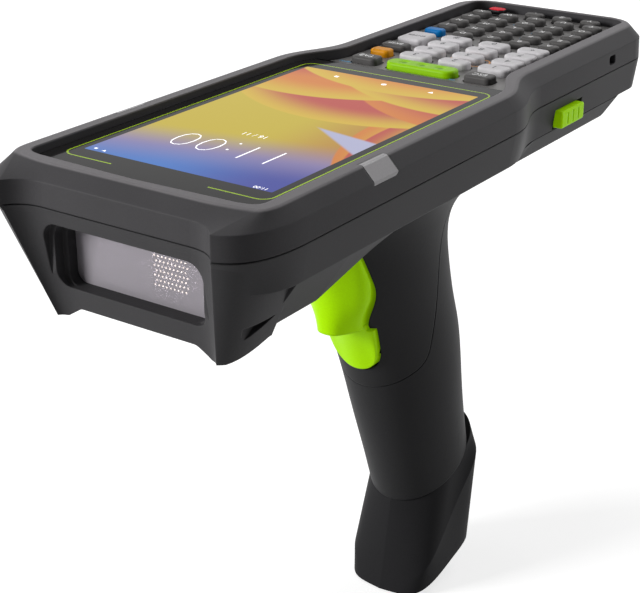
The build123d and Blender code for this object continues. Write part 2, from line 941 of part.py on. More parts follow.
mat_top = flange_bottom - mat_gap
key_board_half = rear_screw_x - boss_radius - 2 * fit_gap
mat_half = key_board_half - fit_gap
mat_front = divider_reach + ledge_width + 2 * fit_gap
mat_back = opening_back - plate_ledge - fit_gap
with BuildPart() as keypad_mat:
    with BuildSketch(level(mat_top)):
        with Locations((0, (mat_front + mat_back) / 2)):
            RectangleRounded(2 * mat_half, mat_back - mat_front, 1.0)
    extrude(amount=-mat_thickness)
save(keypad_mat, "keypad_mat")

key_board_top = mat_top - mat_thickness
with BuildPart() as keypad_board:
    with BuildSketch(level(key_board_top)):
        with Locations((0, (mat_front + mat_back) / 2)):
            RectangleRounded(2 * key_board_half, mat_back - mat_front + 2 * fit_gap, 1.0)
    extrude(amount=-key_board_thickness)
    connector_length = 14.0
    connector_width = 3.6
    with BuildSketch(level(key_board_top - key_board_thickness)):
        with Locations((0, mat_front + 6)):
            Rectangle(connector_length, connector_width)
    extrude(amount=-1.2)
save(keypad_board, "keypad_board")


# ---- Main board and its shields ------------------------------------------------------
with BuildPart() as main_board:
    with BuildSketch(level(board_top)):
        with Locations((0, (board_front + board_back) / 2)):
            RectangleRounded(2 * board_half, board_back - board_front, 2.0)
    extrude(amount=-board_thickness)
save(main_board, "main_board")

shield_places = ((-12.0, -22.0), (12.0, -16.0), (0.0, 18.0))
shield_sizes = ((20.0, 24.0), (18.0, 30.0), (34.0, 22.0))
with BuildPart() as shield_cans:
    for place, size in zip(shield_places, shield_sizes):
        with BuildSketch(level(board_top)):
            with Locations(place):
                RectangleRounded(size[0], size[1], 1.0)
        extrude(amount=shield_height)
save(shield_cans, "shield_cans")


# ---- Reader --------------------------------------------------------------------------
seat_middle = -(seat_top + seat_bottom) / 2
seat_height = seat_bottom - seat_top
with BuildPart() as scan_window:
    with BuildSketch(front(-window_seat)):
        with Locations((0, seat_middle)):
            RectangleRounded(2 * seat_half, seat_height, 1.5)
    extrude(amount=-window_thickness)
save(scan_window, "scan_window")

with BuildPart() as window_gasket:
    with BuildSketch(front(-window_seat + window_thickness)):
        with Locations((0, seat_middle)):
            RectangleRounded(2 * seat_half, seat_height, 1.5)
            RectangleRounded(
                2 * (seat_half - window_lap), seat_height - 2 * window_lap, 1.5, mode=Mode.SUBTRACT
            )
    extrude(amount=-gasket_depth)
save(window_gasket, "window_gasket")

engine_front = -window_seat + window_thickness + gasket_depth + engine_gap
engine_bottom = seat_middle - engine_height / 2
with BuildPart() as scan_engine:
    with BuildSketch(front(engine_front)):
        with Locations((0, seat_middle)):
            Rectangle(engine_width, engine_height)
    extrude(amount=-engine_depth)
    with BuildSketch(front(engine_front)):
        with Locations((lens_x, seat_middle)):
            Circle(lens_radius + 0.05)
        with Locations((aimer_x, seat_middle + 2)):
            Rectangle(4.0, 3.4)
        with Locations((lamp_x, seat_middle)):
            Rectangle(lamp_panel_width + 0.1, lamp_panel_height + 0.1)
    extrude(amount=-2.0, mode=Mode.SUBTRACT)
    # foot that stands on the floor of the nose
    with BuildSketch(level(-floor_front)):
        with Locations((0, engine_front + engine_depth / 2 + 1)):
            Rectangle(engine_width - 8, engine_depth - 4)
    extrude(amount=floor_front + engine_bottom)
save(scan_engine, "scan_engine")

with BuildPart() as scan_lens:
    with BuildSketch(front(engine_front + 2.0)):
        with Locations((lens_x, seat_middle)):
            Circle(lens_radius)
    extrude(amount=2.4)
    fillet(scan_lens.faces().sort_by(Axis.Y)[0].edges(), 0.8)
save(scan_lens, "scan_lens")

with BuildPart() as lamp_panel:
    with BuildSketch(front(engine_front + 2.0)):
        with Locations((lamp_x, seat_middle)):
            Rectangle(lamp_panel_width, lamp_panel_height)
    extrude(amount=1.6)
save(lamp_panel, "lamp_panel")


# ---- Screws of the body --------------------------------------------------------------
screw_tip = -ledge_underside - 0.6
with BuildPart() as housing_screws:
    with BuildSketch(level(-column_top)):
        with Locations(*screw_places):
            Circle(screw_head_radius)
            RegularPolygon(0.75, 6, mode=Mode.SUBTRACT)
    extrude(amount=-screw_head_height)
    with BuildSketch(level(-column_top)):
        with Locations(*screw_places):
            Circle(screw_radius - 0.05)
    extrude(amount=column_top + screw_tip)
    with BuildSketch(level(-column_top)):
        with Locations(*screw_places):
            Circle(screw_radius)
    extrude(amount=-screw_head_height / 2)
save(housing_screws, "housing_screws")


# ---- Battery -------------------------------------------------------------------------
battery_top = -crease_drop - seam_gap
with BuildPart() as battery_shape:
    battery_half = tail_half - 1.4
    wide_half = tail_half + 0.2
    for y, half in (
        (battery_front, wide_half),
        (waist_end, battery_half),
        (battery_back, battery_half),
    ):
        with BuildSketch(front(y)) as section:
            with BuildLine():
                Polyline(
                    (half, battery_top),
                    (belly_half, -belly_drop_rear),
                    (-belly_half, -belly_drop_rear),
                    (-half, battery_top),
                    close=True,
                )
            make_face()
            fillet(section.vertices().group_by(Axis.Y)[0], belly_round)
    loft(ruled=True)

with BuildPart() as battery:
    add(battery_shape.part)
    rear_low = battery.edges().filter_by(Axis.X).group_by(Axis.Z)[0].sort_by(Axis.Y)[-1]
    fillet(rear_low, battery_round)
    core_front = battery_front + 1.2
    with BuildSketch(level(battery_top)):
        with Locations((0, (core_front + battery_core_back) / 2)):
            Rectangle(2 * battery_core_half, battery_core_back - core_front)
    extrude(amount=-battery_core_top - battery_top)
    # notches for the latch hooks
    hook_length = latch_length / 2
    for sign in (-1, 1):
        with BuildSketch(side(sign * battery_core_half)):
            with Locations((latch_front + latch_length / 2, latch_middle)):
                Rectangle(hook_length + 2 * latch_travel + 2, 2.6)
        extrude(amount=-sign * 2.4, mode=Mode.SUBTRACT)
save(battery, "battery")

with BuildPart() as rear_bumper:
    with BuildSketch(level(-belly_drop_rear)):
        with Locations((0, bumper_start + bumper_length / 2)):
            RectangleRounded(2 * bumper_half, bumper_length, 1.5)
    extrude(amount=-bumper_depth)
    fillet(rear_bumper.faces().sort_by(Axis.Z)[0].edges(), 0.8)
save(rear_bumper, "rear_bumper")

contacts_back = bay_front
with BuildPart() as battery_contacts:
    with BuildSketch(front(contacts_back - bay_wall)):
        with Locations((0, -battery_core_top - 3.0)):
            Rectangle(16.0, 3.6)
    extrude(amount=2.4)
save(battery_contacts, "battery_contacts")

with BuildPart() as speaker:
    with BuildSketch(level(-crease_drop + wall)):
        with Locations((0, (bay_back + bay_wall + tail_reach - wall) / 2)):
            RectangleRounded(18.0, 9.0, 2.0)
    extrude(amount=3.4)
save(speaker, "speaker")


# ---- Battery latches -----------------------------------------------------------------
with BuildPart() as battery_latch_right:
    thumb_middle = (latch_front + latch_length / 2, latch_middle)
    with BuildSketch(side(tail_half - latch_pocket_depth)):
        with Locations(thumb_middle):
            RectangleRounded(latch_length, latch_height, 0.8)
    extrude(amount=latch_pocket_depth + latch_proud)
    fillet(battery_latch_right.faces().sort_by(Axis.X)[-1].edges(), 0.5)
    with BuildSketch(side(tail_half + latch_proud)):
        with Locations(*[(thumb_middle[0] + rib_pitch * step, latch_middle) for step in (-1, 0, 1)]):
            Rectangle(0.5, latch_height - 1.4)
    extrude(amount=-rib_depth, mode=Mode.SUBTRACT)
    hook_reach = tail_half - latch_pocket_depth - battery_core_half + 1.6
    with BuildSketch(side(tail_half - latch_pocket_depth)):
        with Locations(thumb_middle):
            Rectangle(latch_length / 2 - latch_travel, latch_height / 2 - run_gap)
    extrude(amount=-hook_reach)
save(battery_latch_right, "battery_latch_right")

with BuildPart() as battery_latch_left:
    mirror(battery_latch_right.part, about=Plane.YZ)
save(battery_latch_left, "battery_latch_left")


# ---- Grip shells ---------------------------------------------------------------------
def shroud_zone(grow):
    """Block whose rear and lower faces are the seam between shroud and sleeve."""
    with BuildPart() as zone:
        with BuildSketch(side(-body_half)) as profile:
            with BuildLine():
                Polyline(
                    (-body_half, -crease_drop + 4),
                    (-body_half, -shroud_drop - 4),
                    (shroud_lip_y, -shroud_drop),
                    (shroud_side_y, -shroud_drop + 10),
                    (shroud_side_y + 0.2, -shroud_shoulder),
                    (shroud_side_y + 1.5, -crease_drop + 4),
                    close=True,
                )
            make_face()
            seam_bends = profile.vertices().group_by(Axis.X)[1:3]
            fillet([bend for group in seam_bends for bend in group], shroud_corner)
            if grow:
                offset(amount=grow, kind=Kind.INTERSECTION)
        extrude(amount=2 * body_half)
    return zone.part


with BuildPart() as battery_clear:
    with BuildSketch(side(-body_half)):
        with Locations((battery_front - 2 * seam_gap, -battery_clear_drop)):
            Rectangle(body_half * 2, body_half, align=(Align.MIN, Align.MIN))
    extrude(amount=2 * body_half)


def trigger_outline(grow, sink):
    """Trigger seen from the nose: bulge, narrow waist and round-ended tongue."""
    half = trigger_half + grow
    turn = bulge_turn_half + grow
    waist = waist_half + grow
    wide = tongue_half + grow
    low = tongue_low_half + grow
    top = grow - trigger_top
    tongue = grow - tongue_drop
    end = -trigger_drop - grow
    with BuildSketch(front(0)) as outline:
        with BuildLine():
            Line((0, top), (half, top))
            Line((half, top), (half, -bulge_drop - sink))
            Spline(
                (half, -bulge_drop - sink),
                (turn, -bulge_turn - sink),
                (waist, -waist_drop - sink),
                tangents=((0, -1), (-0.3, -1)),
            )
            Line((waist, -waist_drop - sink), (waist, tongue))
            Line((waist, tongue), (wide, tongue))
            Line((wide, tongue), (low, -tongue_turn))
            Spline((low, -tongue_turn), (0, end), tangents=((-0.16, -1), (-1, 0)))
            mirror(about=Plane.YZ)
        make_face()
    return outline.sketch


with BuildPart() as trigger_slot:
    extrude(trigger_outline(slot_gap, trigger_sink), amount=fit_gap - bracket_front)

with BuildPart() as grip_shroud:
    add(grip_form)
    add(grip_core, mode=Mode.SUBTRACT)
    add(shroud_zone(0), mode=Mode.INTERSECT)
    add(trigger_slot.part, mode=Mode.SUBTRACT)
    # seats of the hinge pin, the switch and the screws from the body
    with BuildPart(mode=Mode.PRIVATE) as shroud_seats:
        for sign in (-1, 1):
            with BuildSketch(side(sign * (trigger_half + slot_gap))):
                with Locations((pin_y, -pin_drop)):
                    Circle(boss_round)
            extrude(amount=sign * body_half)
        with BuildSketch(side(-body_half)):
            with Locations((bracket_front, -switch_bottom - 1)):
                Rectangle(
                    bracket_back - bracket_front,
                    switch_bottom - switch_top + 2,
                    align=(Align.MIN, Align.MIN),
                )
        extrude(amount=2 * body_half)
        with BuildSketch(level(-belly_drop_rear)):
            with Locations(*grip_screw_places):
                Circle(column_radius)
        extrude(amount=-body_boss_depth)
        add(grip_form, mode=Mode.INTERSECT)
    add(shroud_seats.part)
    with BuildSketch(side(-pin_half)):
        with Locations((pin_y, -pin_drop)):
            Circle(pin_radius)
    extrude(amount=2 * pin_half, mode=Mode.SUBTRACT)
    with BuildSketch(level(-belly_drop_rear)):
        with Locations(*grip_screw_places):
            Circle(grip_screw_radius)
    extrude(amount=1 - body_boss_depth, mode=Mode.SUBTRACT)
    add(belly_clear.part, mode=Mode.SUBTRACT)
    add(battery_clear.part, mode=Mode.SUBTRACT)
save(grip_shroud, "grip_shroud")

with BuildPart() as foot_side:
    with BuildSketch(neck):
        Rectangle(6 * body_half, 6 * body_half)
    extrude(amount=-2 * body_half)

with BuildPart() as spigot_hollow:
    add(grip_loft(spigot_inset + spigot_wall))

with BuildPart() as grip_sleeve:
    add(grip_form)
    add(grip_core, mode=Mode.SUBTRACT)
    # web across the bottom for the long screw from the foot
    with BuildPart(mode=Mode.PRIVATE) as web:
        with BuildSketch(level(-web_top)):
            with Locations((0, foot_screw_y)):
                Rectangle(2 * body_half, web_width)
        extrude(amount=-web_depth)
        add(grip_form, mode=Mode.INTERSECT)
        with BuildSketch(level(-web_top)):
            with Locations((0, foot_screw_y)):
                Circle(grip_screw_radius)
        extrude(amount=-web_depth, mode=Mode.SUBTRACT)
    add(web.part)
    add(shroud_zone(seam_gap), mode=Mode.SUBTRACT)
    add(foot_side.part, mode=Mode.SUBTRACT)
    add(belly_clear.part, mode=Mode.SUBTRACT)
    add(battery_clear.part, mode=Mode.SUBTRACT)
save(grip_sleeve, "grip_sleeve")


# ---- Foot ----------------------------------------------------------------------------
sole_plane_drop = sole_drop + sole_edge * tan(radians(sole_tilt))
foot_sections = [
    dict(
        plane=slanted(neck_y, neck_drop + foot_gap, neck_tilt),
        tilt=neck_tilt,
        middle=neck_y,
        prow=48.5,
        cheek=(6.5, 50.5),
        side=(12.8, 62.0),
        heel=(8.5, 79.0),
        back=82.0,
    ),
    dict(
        plane=slanted(keel_y, keel_drop, keel_tilt),
        tilt=keel_tilt,
        middle=keel_y,
        prow=44.0,
        cheek=(8.5, 45.5),
        side=(13.8, 60.0),
        heel=(11.5, 77.5),
        back=80.5,
    ),
    dict(
        plane=slanted(sole_front, sole_plane_drop, sole_tilt),
        tilt=sole_tilt,
        middle=sole_front,
        prow=sole_front,
        cheek=(9.0, 45.0),
        side=(13.6, 60.0),
        heel=(11.5, 75.0),
        back=77.5,
    ),
]


def foot_line(section, inset):
    """Right-hand half of the foot's outline on a slanted plane, prow to back."""

    def along(y):
        return (y - section["middle"]) / cos(radians(section["tilt"]))

    prow = (0, along(section["prow"] + inset))
    cheek = (section["cheek"][0] - inset * 0.6, along(section["cheek"][1] + inset * 0.8))
    flank = (section["side"][0] - inset, along(section["side"][1]))
    heel = (section["heel"][0] - inset * 0.7, along(section["heel"][1] - inset * 0.7))
    back = (0, along(section["back"] - inset))
    Spline(prow, cheek, flank, tangents=((1, 0.1), (0, 1)))
    Spline(flank, heel, back, tangents=((0, 1), (-1, 0)))


def foot_loft(inset, lift, edge):
    """Solid through the foot's sections; its sole is lifted and has a slanted edge."""
    layers = [(section, inset, 0) for section in foot_sections]
    layers[-1] = (foot_sections[-1], inset, lift + edge)
    if edge:
        layers.append((foot_sections[-1], inset + edge, lift))
    with BuildPart() as form:
        for section, shrink, rise in layers:
            with BuildSketch(section["plane"].offset(rise)):
                with BuildLine():
                    foot_line(section, shrink)
                    mirror(about=Plane.YZ)
                make_face()
        loft(ruled=True)
    return form.part


foot_form = foot_loft(0, 0, sole_edge)
with BuildPart() as grip_foot:
    add(foot_form)
    add(foot_loft(foot_wall, foot_wall, 0), mode=Mode.SUBTRACT)
    # column round the long screw
    with BuildPart(mode=Mode.PRIVATE) as foot_column:
        with BuildSketch(level(-web_top)):
            with Locations((0, foot_screw_y)):
                Circle(foot_column_radius)
        extrude(amount=web_top - sole_drop)
        add(foot_form, mode=Mode.INTERSECT)
    add(foot_column.part)
    # spigot that stands up into the sleeve
    with BuildPart(mode=Mode.PRIVATE) as spigot:
        with BuildSketch(slanted(neck_y, neck_drop + 2.0, neck_tilt)):
            Rectangle(2 * body_half, 2 * body_half)
        extrude(amount=spigot_height)
        add(grip_loft(spigot_inset), mode=Mode.INTERSECT)
        add(spigot_hollow.part, mode=Mode.SUBTRACT)
    add(spigot.part)
    with BuildSketch(level(-foot_seat_drop)):
        with Locations((0, foot_screw_y)):
            Circle(grip_screw_head + 0.3)
    extrude(amount=foot_seat_drop - sole_drop - 5, mode=Mode.SUBTRACT)
    with BuildSketch(level(-web_top)):
        with Locations((0, foot_screw_y)):
            Circle(grip_screw_radius + 0.1)
    extrude(amount=web_top - sole_drop, mode=Mode.SUBTRACT)
save(grip_foot, "grip_foot")

with BuildPart() as foot_screw:
    with BuildSketch(level(-foot_seat_drop)):
        with Locations((0, foot_screw_y)):
            Circle(grip_screw_head)
            RegularPolygon(1.0, 6, mode=Mode.SUBTRACT)
    extrude(amount=-1.8)
    with BuildSketch(level(-foot_seat_drop)):
        with Locations((0, foot_screw_y)):
            Circle(grip_screw_radius)
    extrude(amount=-0.8)
    with BuildSketch(level(-foot_seat_drop)):
        with Locations((0, foot_screw_y)):
            Circle(grip_screw_radius)
    extrude(amount=foot_seat_drop - web_top - 1.0)
save(foot_screw, "foot_screw")

with BuildPart() as grip_screws:
    with BuildSketch(level(-floor_rear)):
        with Locations(*grip_screw_places):
            Circle(grip_screw_head)
            RegularPolygon(1.0, 6, mode=Mode.SUBTRACT)
    extrude(amount=1.8)
    with BuildSketch(level(-floor_rear)):
        with Locations(*grip_screw_places):
            Circle(grip_screw_radius)
    extrude(amount=0.8)
    with BuildSketch(level(-floor_rear)):
        with Locations(*grip_screw_places):
            Circle(grip_screw_radius)
    extrude(amount=-(wall + body_boss_depth - 2.0))
save(grip_screws, "grip_screws")


# ---- Trigger -------------------------------------------------------------------------

# Level sections of the trigger: drop, half width, front and flank
bulge_stations = (
    (32.0, 10.6, 9.0, 13.0),
    (38.0, 11.5, 9.4, 14.2),
    (44.0, 11.4, 10.6, 17.4),
    (49.0, 10.6, 12.2, 19.4),
    (54.0, 9.0, 13.4, 20.9),
    (58.8, 7.0, 13.8, 22.2),
    (62.0, 6.6, 14.0, 23.6),
)
tongue_stations = (
    (60.0, 9.0, 20.6, 24.4),
    (65.0, 8.4, 23.5, 26.9),
    (70.0, 8.0, 26.2, 29.0),
    (74.0, 7.8, 27.9, 30.6),
    (78.0, 7.6, 29.5, 32.0),
)


def crescent(stations):
    """Smooth solid through sections with a rounded front and a straight back."""
    back = pin_y + boss_round + 1
    with BuildPart() as form:
        for drop, half, nose, flank in stations:
            with BuildSketch(level(-drop)):
                with BuildLine():
                    Spline(
                        (0, nose),
                        (half * 0.7, nose + (flank - nose) * 0.36),
                        (half, flank),
                        tangents=((1, 0), (0, 1)),
                    )
                    Line((half, flank), (half, back))
                    Line((half, back), (0, back))
                    mirror(about=Plane.YZ)
                make_face()
        loft()
    return form.part


with BuildPart() as trigger_limits:
    with BuildSketch(side(-trigger_half)):
        with BuildLine():
            Polyline(
                (0, -trigger_top),
                (pin_y, -trigger_top),
                (pin_y + boss_round - 0.4, -pin_drop),
                (pin_y, -bulge_turn),
                (trigger_back - 2.0, -tongue_drop),
                (trigger_back, -tongue_drop - 4.0),
                (trigger_back, -switch_bottom - 1.5),
                (tongue_back, -switch_bottom - 2.5),
                (tongue_back, -trigger_drop),
                (0, -trigger_drop),
                close=True,
            )
        make_face()
    extrude(amount=2 * trigger_half)
    extrude(trigger_outline(0, 0), amount=-body_half * 2, mode=Mode.INTERSECT)

with BuildPart() as trigger:
    add(crescent(bulge_stations))
    with BuildSketch(level(-bulge_bottom)):
        Rectangle(6 * trigger_half, 2 * body_half)
    extrude(amount=-2 * trigger_half, mode=Mode.SUBTRACT)
    add(crescent(tongue_stations))
    add(trigger_limits.part, mode=Mode.INTERSECT)
    # hub on the hinge pin
    with BuildSketch(side(-trigger_half)):
        with Locations((pin_y, -pin_drop)):
            Circle(boss_round)
    extrude(amount=2 * trigger_half)
    with BuildSketch(side(-coil_room)):
        with Locations((pin_y, -pin_drop)):
            Circle(boss_round + 0.6)
    extrude(amount=2 * coil_room, mode=Mode.SUBTRACT)
    with BuildSketch(side(-trigger_half)):
        with Locations((pin_y, -pin_drop)):
            Circle(pin_radius + pin_clearance)
    extrude(amount=2 * trigger_half, mode=Mode.SUBTRACT)
save(trigger, "trigger")

with BuildPart() as trigger_pin:
    with BuildSketch(side(-pin_half)):
        with Locations((pin_y, -pin_drop)):
            Circle(pin_radius)
    extrude(amount=2 * pin_half)
save(trigger_pin, "trigger_pin")

coil_half = coil_turns * coil_pitch / 2
coil_start = (-coil_half, deck_y + pin_y, deck_z - pin_drop)
with BuildPart() as trigger_spring:
    with BuildLine():
        coil = Helix(coil_pitch, 2 * coil_half, coil_radius, coil_start, (1, 0, 0))
    with BuildSketch(Plane(origin=coil @ 0, z_dir=coil % 0)):
        Circle(coil_wire)
    sweep(path=coil)
save(trigger_spring, "trigger_spring")

switch_middle = -(switch_top + switch_bottom) / 2
with BuildPart() as trigger_switch:
    with BuildSketch(front(bracket_front)):
        with Locations((0, switch_middle)):
            Rectangle(switch_width, switch_bottom - switch_top)
    extrude(amount=bracket_front - switch_face_y - plunger_rise)
    with BuildSketch(front(switch_face_y + plunger_rise)):
        with Locations((0, switch_middle)):
            Circle(1.3)
    extrude(amount=plunger_rise)
save(trigger_switch, "trigger_switch")
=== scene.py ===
import math

import bmesh
import bpy
from mathutils import Matrix, Vector


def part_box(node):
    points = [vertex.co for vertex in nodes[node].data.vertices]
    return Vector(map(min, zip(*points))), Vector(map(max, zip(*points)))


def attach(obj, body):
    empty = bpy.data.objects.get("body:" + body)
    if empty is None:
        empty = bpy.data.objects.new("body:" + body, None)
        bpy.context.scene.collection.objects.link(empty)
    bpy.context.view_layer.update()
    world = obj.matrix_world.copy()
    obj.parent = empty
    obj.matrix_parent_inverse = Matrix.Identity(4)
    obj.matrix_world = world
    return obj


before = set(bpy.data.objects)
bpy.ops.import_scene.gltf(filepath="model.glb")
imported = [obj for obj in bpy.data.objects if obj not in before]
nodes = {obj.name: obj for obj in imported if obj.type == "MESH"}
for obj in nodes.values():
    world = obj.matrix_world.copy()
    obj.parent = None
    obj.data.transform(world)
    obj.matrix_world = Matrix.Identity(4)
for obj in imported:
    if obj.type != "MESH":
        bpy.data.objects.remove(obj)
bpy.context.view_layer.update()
print("frame loaded:", len(nodes), "pieces")

# the middle of the picture along the body: the printed words are placed from here
panelLow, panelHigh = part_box("display_panel")
pictureY = (panelLow.y + panelHigh.y) / 2
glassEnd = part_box("display_glass")[1].y
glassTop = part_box("display_glass")[1].z


# shared node helpers
def makeMaterial(name, **settings):
    material = bpy.data.materials.new(name)
    material.use_nodes = True
    shader = material.node_tree.nodes["Principled BSDF"]
    for key, value in settings.items():
        shader.inputs[key].default_value = value
    return material, material.node_tree, shader


def addNode(tree, kind, **settings):
    node = tree.nodes.new(kind)
    for key, value in settings.items():
        setattr(node, key, value)
    return node


def feed(tree, target, source):
    # a plain value is written on the socket, anything else is linked to it
    if isinstance(source, bpy.types.NodeSocket):
        tree.links.new(source, target)
    elif source is not None:
        target.default_value = source


def mathNode(tree, operation, first, second=None, clamp=False):
    node = addNode(tree, "ShaderNodeMath", operation=operation, use_clamp=clamp)
    for socket, source in zip(node.inputs, (first, second)):
        feed(tree, socket, source)
    return node.outputs[0]


def mixColour(tree, factor, first, second):
    node = addNode(tree, "ShaderNodeMix", data_type="RGBA")
    feed(tree, node.inputs["Factor"], factor)
    feed(tree, node.inputs["A"], first)
    feed(tree, node.inputs["B"], second)
    return node.outputs["Result"]


def makeGroup(name, inputs, outputs):
    tree = bpy.data.node_groups.new(name, "ShaderNodeTree")
    for label, kind, value in inputs:
        socket = tree.interface.new_socket(name=label, in_out="INPUT", socket_type=kind)
        socket.default_value = value
    for label, kind in outputs:
        tree.interface.new_socket(name=label, in_out="OUTPUT", socket_type=kind)
    return tree, tree.nodes.new("NodeGroupInput"), tree.nodes.new("NodeGroupOutput")


def placeGroup(tree, group, **settings):
    node = addNode(tree, "ShaderNodeGroup", node_tree=group)
    for key, value in settings.items():
        feed(tree, node.inputs[key], value)
    return node


def objectCoordinates(tree):
    return addNode(tree, "ShaderNodeTexCoord").outputs["Object"]


def objectAxes(tree):
    split = addNode(tree, "ShaderNodeSeparateXYZ")
    feed(tree, split.inputs[0], objectCoordinates(tree))
    return split.outputs["X"], split.outputs["Y"], split.outputs["Z"]


def lengthOf(tree, across, along):
    square = mathNode(
        tree, "ADD", mathNode(tree, "MULTIPLY", across, across), mathNode(tree, "MULTIPLY", along, along)
    )
    return mathNode(tree, "SQRT", square)


def smoothStep(tree, value, low, high):
    # 0 at low and 1 at high, with a soft start and end
    node = addNode(tree, "ShaderNodeMapRange", interpolation_type="SMOOTHSTEP")
    feed(tree, node.inputs["Value"], value)
    node.inputs["From Min"].default_value = low
    node.inputs["From Max"].default_value = high
    return node.outputs[0]


def spread(tree, value, low, high):
    # a 0 to 1 value stretched to lie between low and high
    node = addNode(tree, "ShaderNodeMapRange")
    feed(tree, node.inputs["Value"], value)
    node.inputs["To Min"].default_value = low
    node.inputs["To Max"].default_value = high
    return node.outputs[0]


def noise(tree, place, size, detail=2.0):
    node = addNode(tree, "ShaderNodeTexNoise")
    feed(tree, node.inputs["Vector"], place)
    feed(tree, node.inputs["Scale"], size)
    node.inputs["Detail"].default_value = detail
    return node.outputs["Fac"]


def roundedFrame(tree, x, y, halfX, halfY, corner):
    # signed distance to a rounded rectangle, negative inside
    outX = mathNode(tree, "SUBTRACT", mathNode(tree, "ABSOLUTE", x), halfX - corner)
    outY = mathNode(tree, "SUBTRACT", mathNode(tree, "ABSOLUTE", y), halfY - corner)
    clearX = mathNode(tree, "MAXIMUM", outX, 0.0)
    clearY = mathNode(tree, "MAXIMUM", outY, 0.0)
    outside = lengthOf(tree, clearX, clearY)
    inside = mathNode(tree, "MINIMUM", mathNode(tree, "MAXIMUM", outX, outY), 0.0)
    return mathNode(tree, "SUBTRACT", mathNode(tree, "ADD", outside, inside), corner)


# shared effects
moulding = {"cloudSize": 45.0, "cloud": 0.12, "speckle": 0.1, "depth": 0.00004}


def grainEffect():
    # moulded plastic: a fine spark-eroded grain, cloudy gloss and softened edges
    tree, entry, leave = makeGroup(
        "mouldedGrain",
        [
            ("Tone", "NodeSocketColor", (0.05, 0.05, 0.05, 1)),
            ("Roughness", "NodeSocketFloat", 0.5),
            ("Grain", "NodeSocketFloat", 0.3),
            ("Grain Size", "NodeSocketFloat", 2600.0),
            ("Edge Radius", "NodeSocketFloat", 0.0005),
        ],
        [
            ("Colour", "NodeSocketColor"),
            ("Roughness", "NodeSocketFloat"),
            ("Normal", "NodeSocketVector"),
        ],
    )
    place = objectCoordinates(tree)
    fine = noise(tree, place, entry.outputs["Grain Size"])
    cloud = noise(tree, place, moulding["cloudSize"], 3.0)
    shade = spread(tree, cloud, 1 - moulding["cloud"], 1 + moulding["cloud"])
    speckle = spread(tree, fine, 1 - moulding["speckle"], 1 + moulding["speckle"])
    tone = addNode(tree, "ShaderNodeVectorMath", operation="SCALE")
    feed(tree, tone.inputs[0], entry.outputs["Tone"])
    feed(tree, tone.inputs["Scale"], mathNode(tree, "MULTIPLY", shade, speckle))
    feed(tree, leave.inputs["Colour"], tone.outputs[0])
    rough = mathNode(tree, "MULTIPLY", entry.outputs["Roughness"], shade, clamp=True)
    feed(tree, leave.inputs["Roughness"], rough)
    edges = addNode(tree, "ShaderNodeBevel", samples=6)
    feed(tree, edges.inputs["Radius"], entry.outputs["Edge Radius"])
    bump = addNode(tree, "ShaderNodeBump")
    bump.inputs["Distance"].default_value = moulding["depth"]
    feed(tree, bump.inputs["Strength"], entry.outputs["Grain"])
    feed(tree, bump.inputs["Height"], fine)
    feed(tree, bump.inputs["Normal"], edges.outputs["Normal"])
    feed(tree, leave.inputs["Normal"], bump.outputs["Normal"])
    return tree


mouldedGrain = grainEffect()


def grained(tree, shader, tone, roughness, grain=0.3, grainSize=2600.0, edgeRadius=0.0005):
    # the moulded grain on a material; its colour is handed back for patterns laid over it
    effect = placeGroup(
        tree,
        mouldedGrain,
        Tone=tone,
        Roughness=roughness,
        Grain=grain,
        **{"Grain Size": grainSize, "Edge Radius": edgeRadius},
    )
    feed(tree, shader.inputs["Base Color"], effect.outputs["Colour"])
    feed(tree, shader.inputs["Roughness"], effect.outputs["Roughness"])
    feed(tree, shader.inputs["Normal"], effect.outputs["Normal"])
    return effect.outputs["Colour"]


def plastic(name, tone, roughness, grain=0.3, grainSize=2600.0, edgeRadius=0.0005, **settings):
    material, tree, shader = makeMaterial(name, **settings)
    grained(tree, shader, (*tone, 1), roughness, grain, grainSize, edgeRadius)
    return material


def dress(material, *names):
    for name in names:
        mesh = nodes[name].data
        mesh.materials.clear()
        mesh.materials.append(material)


# finishes of the casing, the grip and the keys
shellTone = {
    "housing": (0.046, 0.0445, 0.047),
    # the rim's paler tone is a painted highlight along its flat top
    "rim": (0.150, 0.143, 0.149),
    "lower": (0.044, 0.043, 0.045),
    "grip": (0.024, 0.0238, 0.025),
    "foot": (0.016, 0.0158, 0.017),
    "battery": (0.036, 0.0355, 0.037),
    "lime": (0.33, 0.66, 0.0),
    "rubber": (0.006, 0.006, 0.007),
}
soft = {"Specular IOR Level": 0.07}
dull = {"Specular IOR Level": 0.05}
rim = {"bandLow": 0.0005, "bandTop": 0.0001}  # the painted highlight band, measured down from the rim's top


def topFinish():
    # satin walls, and a painted highlight that makes the rim paler along its flat top
    material, tree, shader = makeMaterial("topPlastic", **soft)
    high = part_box("top_housing")[1].z
    z = objectAxes(tree)[2]
    # painted highlight: the top of the rim is coloured paler, standing for the light it catches
    paintedHighlight = smoothStep(tree, z, high - rim["bandLow"], high - rim["bandTop"])
    tone = mixColour(tree, paintedHighlight, (*shellTone["housing"], 1), (*shellTone["rim"], 1))
    grained(tree, shader, tone, 0.46, 0.35)
    return material


topPlastic = topFinish()
lowerPlastic = plastic("lowerPlastic", shellTone["lower"], 0.48, 0.35, **soft)
gripPlastic = plastic("gripPlastic", shellTone["grip"], 0.5, 0.45, 2000.0, **dull)
footPlastic = plastic("footPlastic", shellTone["foot"], 0.5, 0.45, 2000.0, **dull)
batteryPlastic = plastic("batteryPlastic", shellTone["battery"], 0.55, 0.45, **soft)
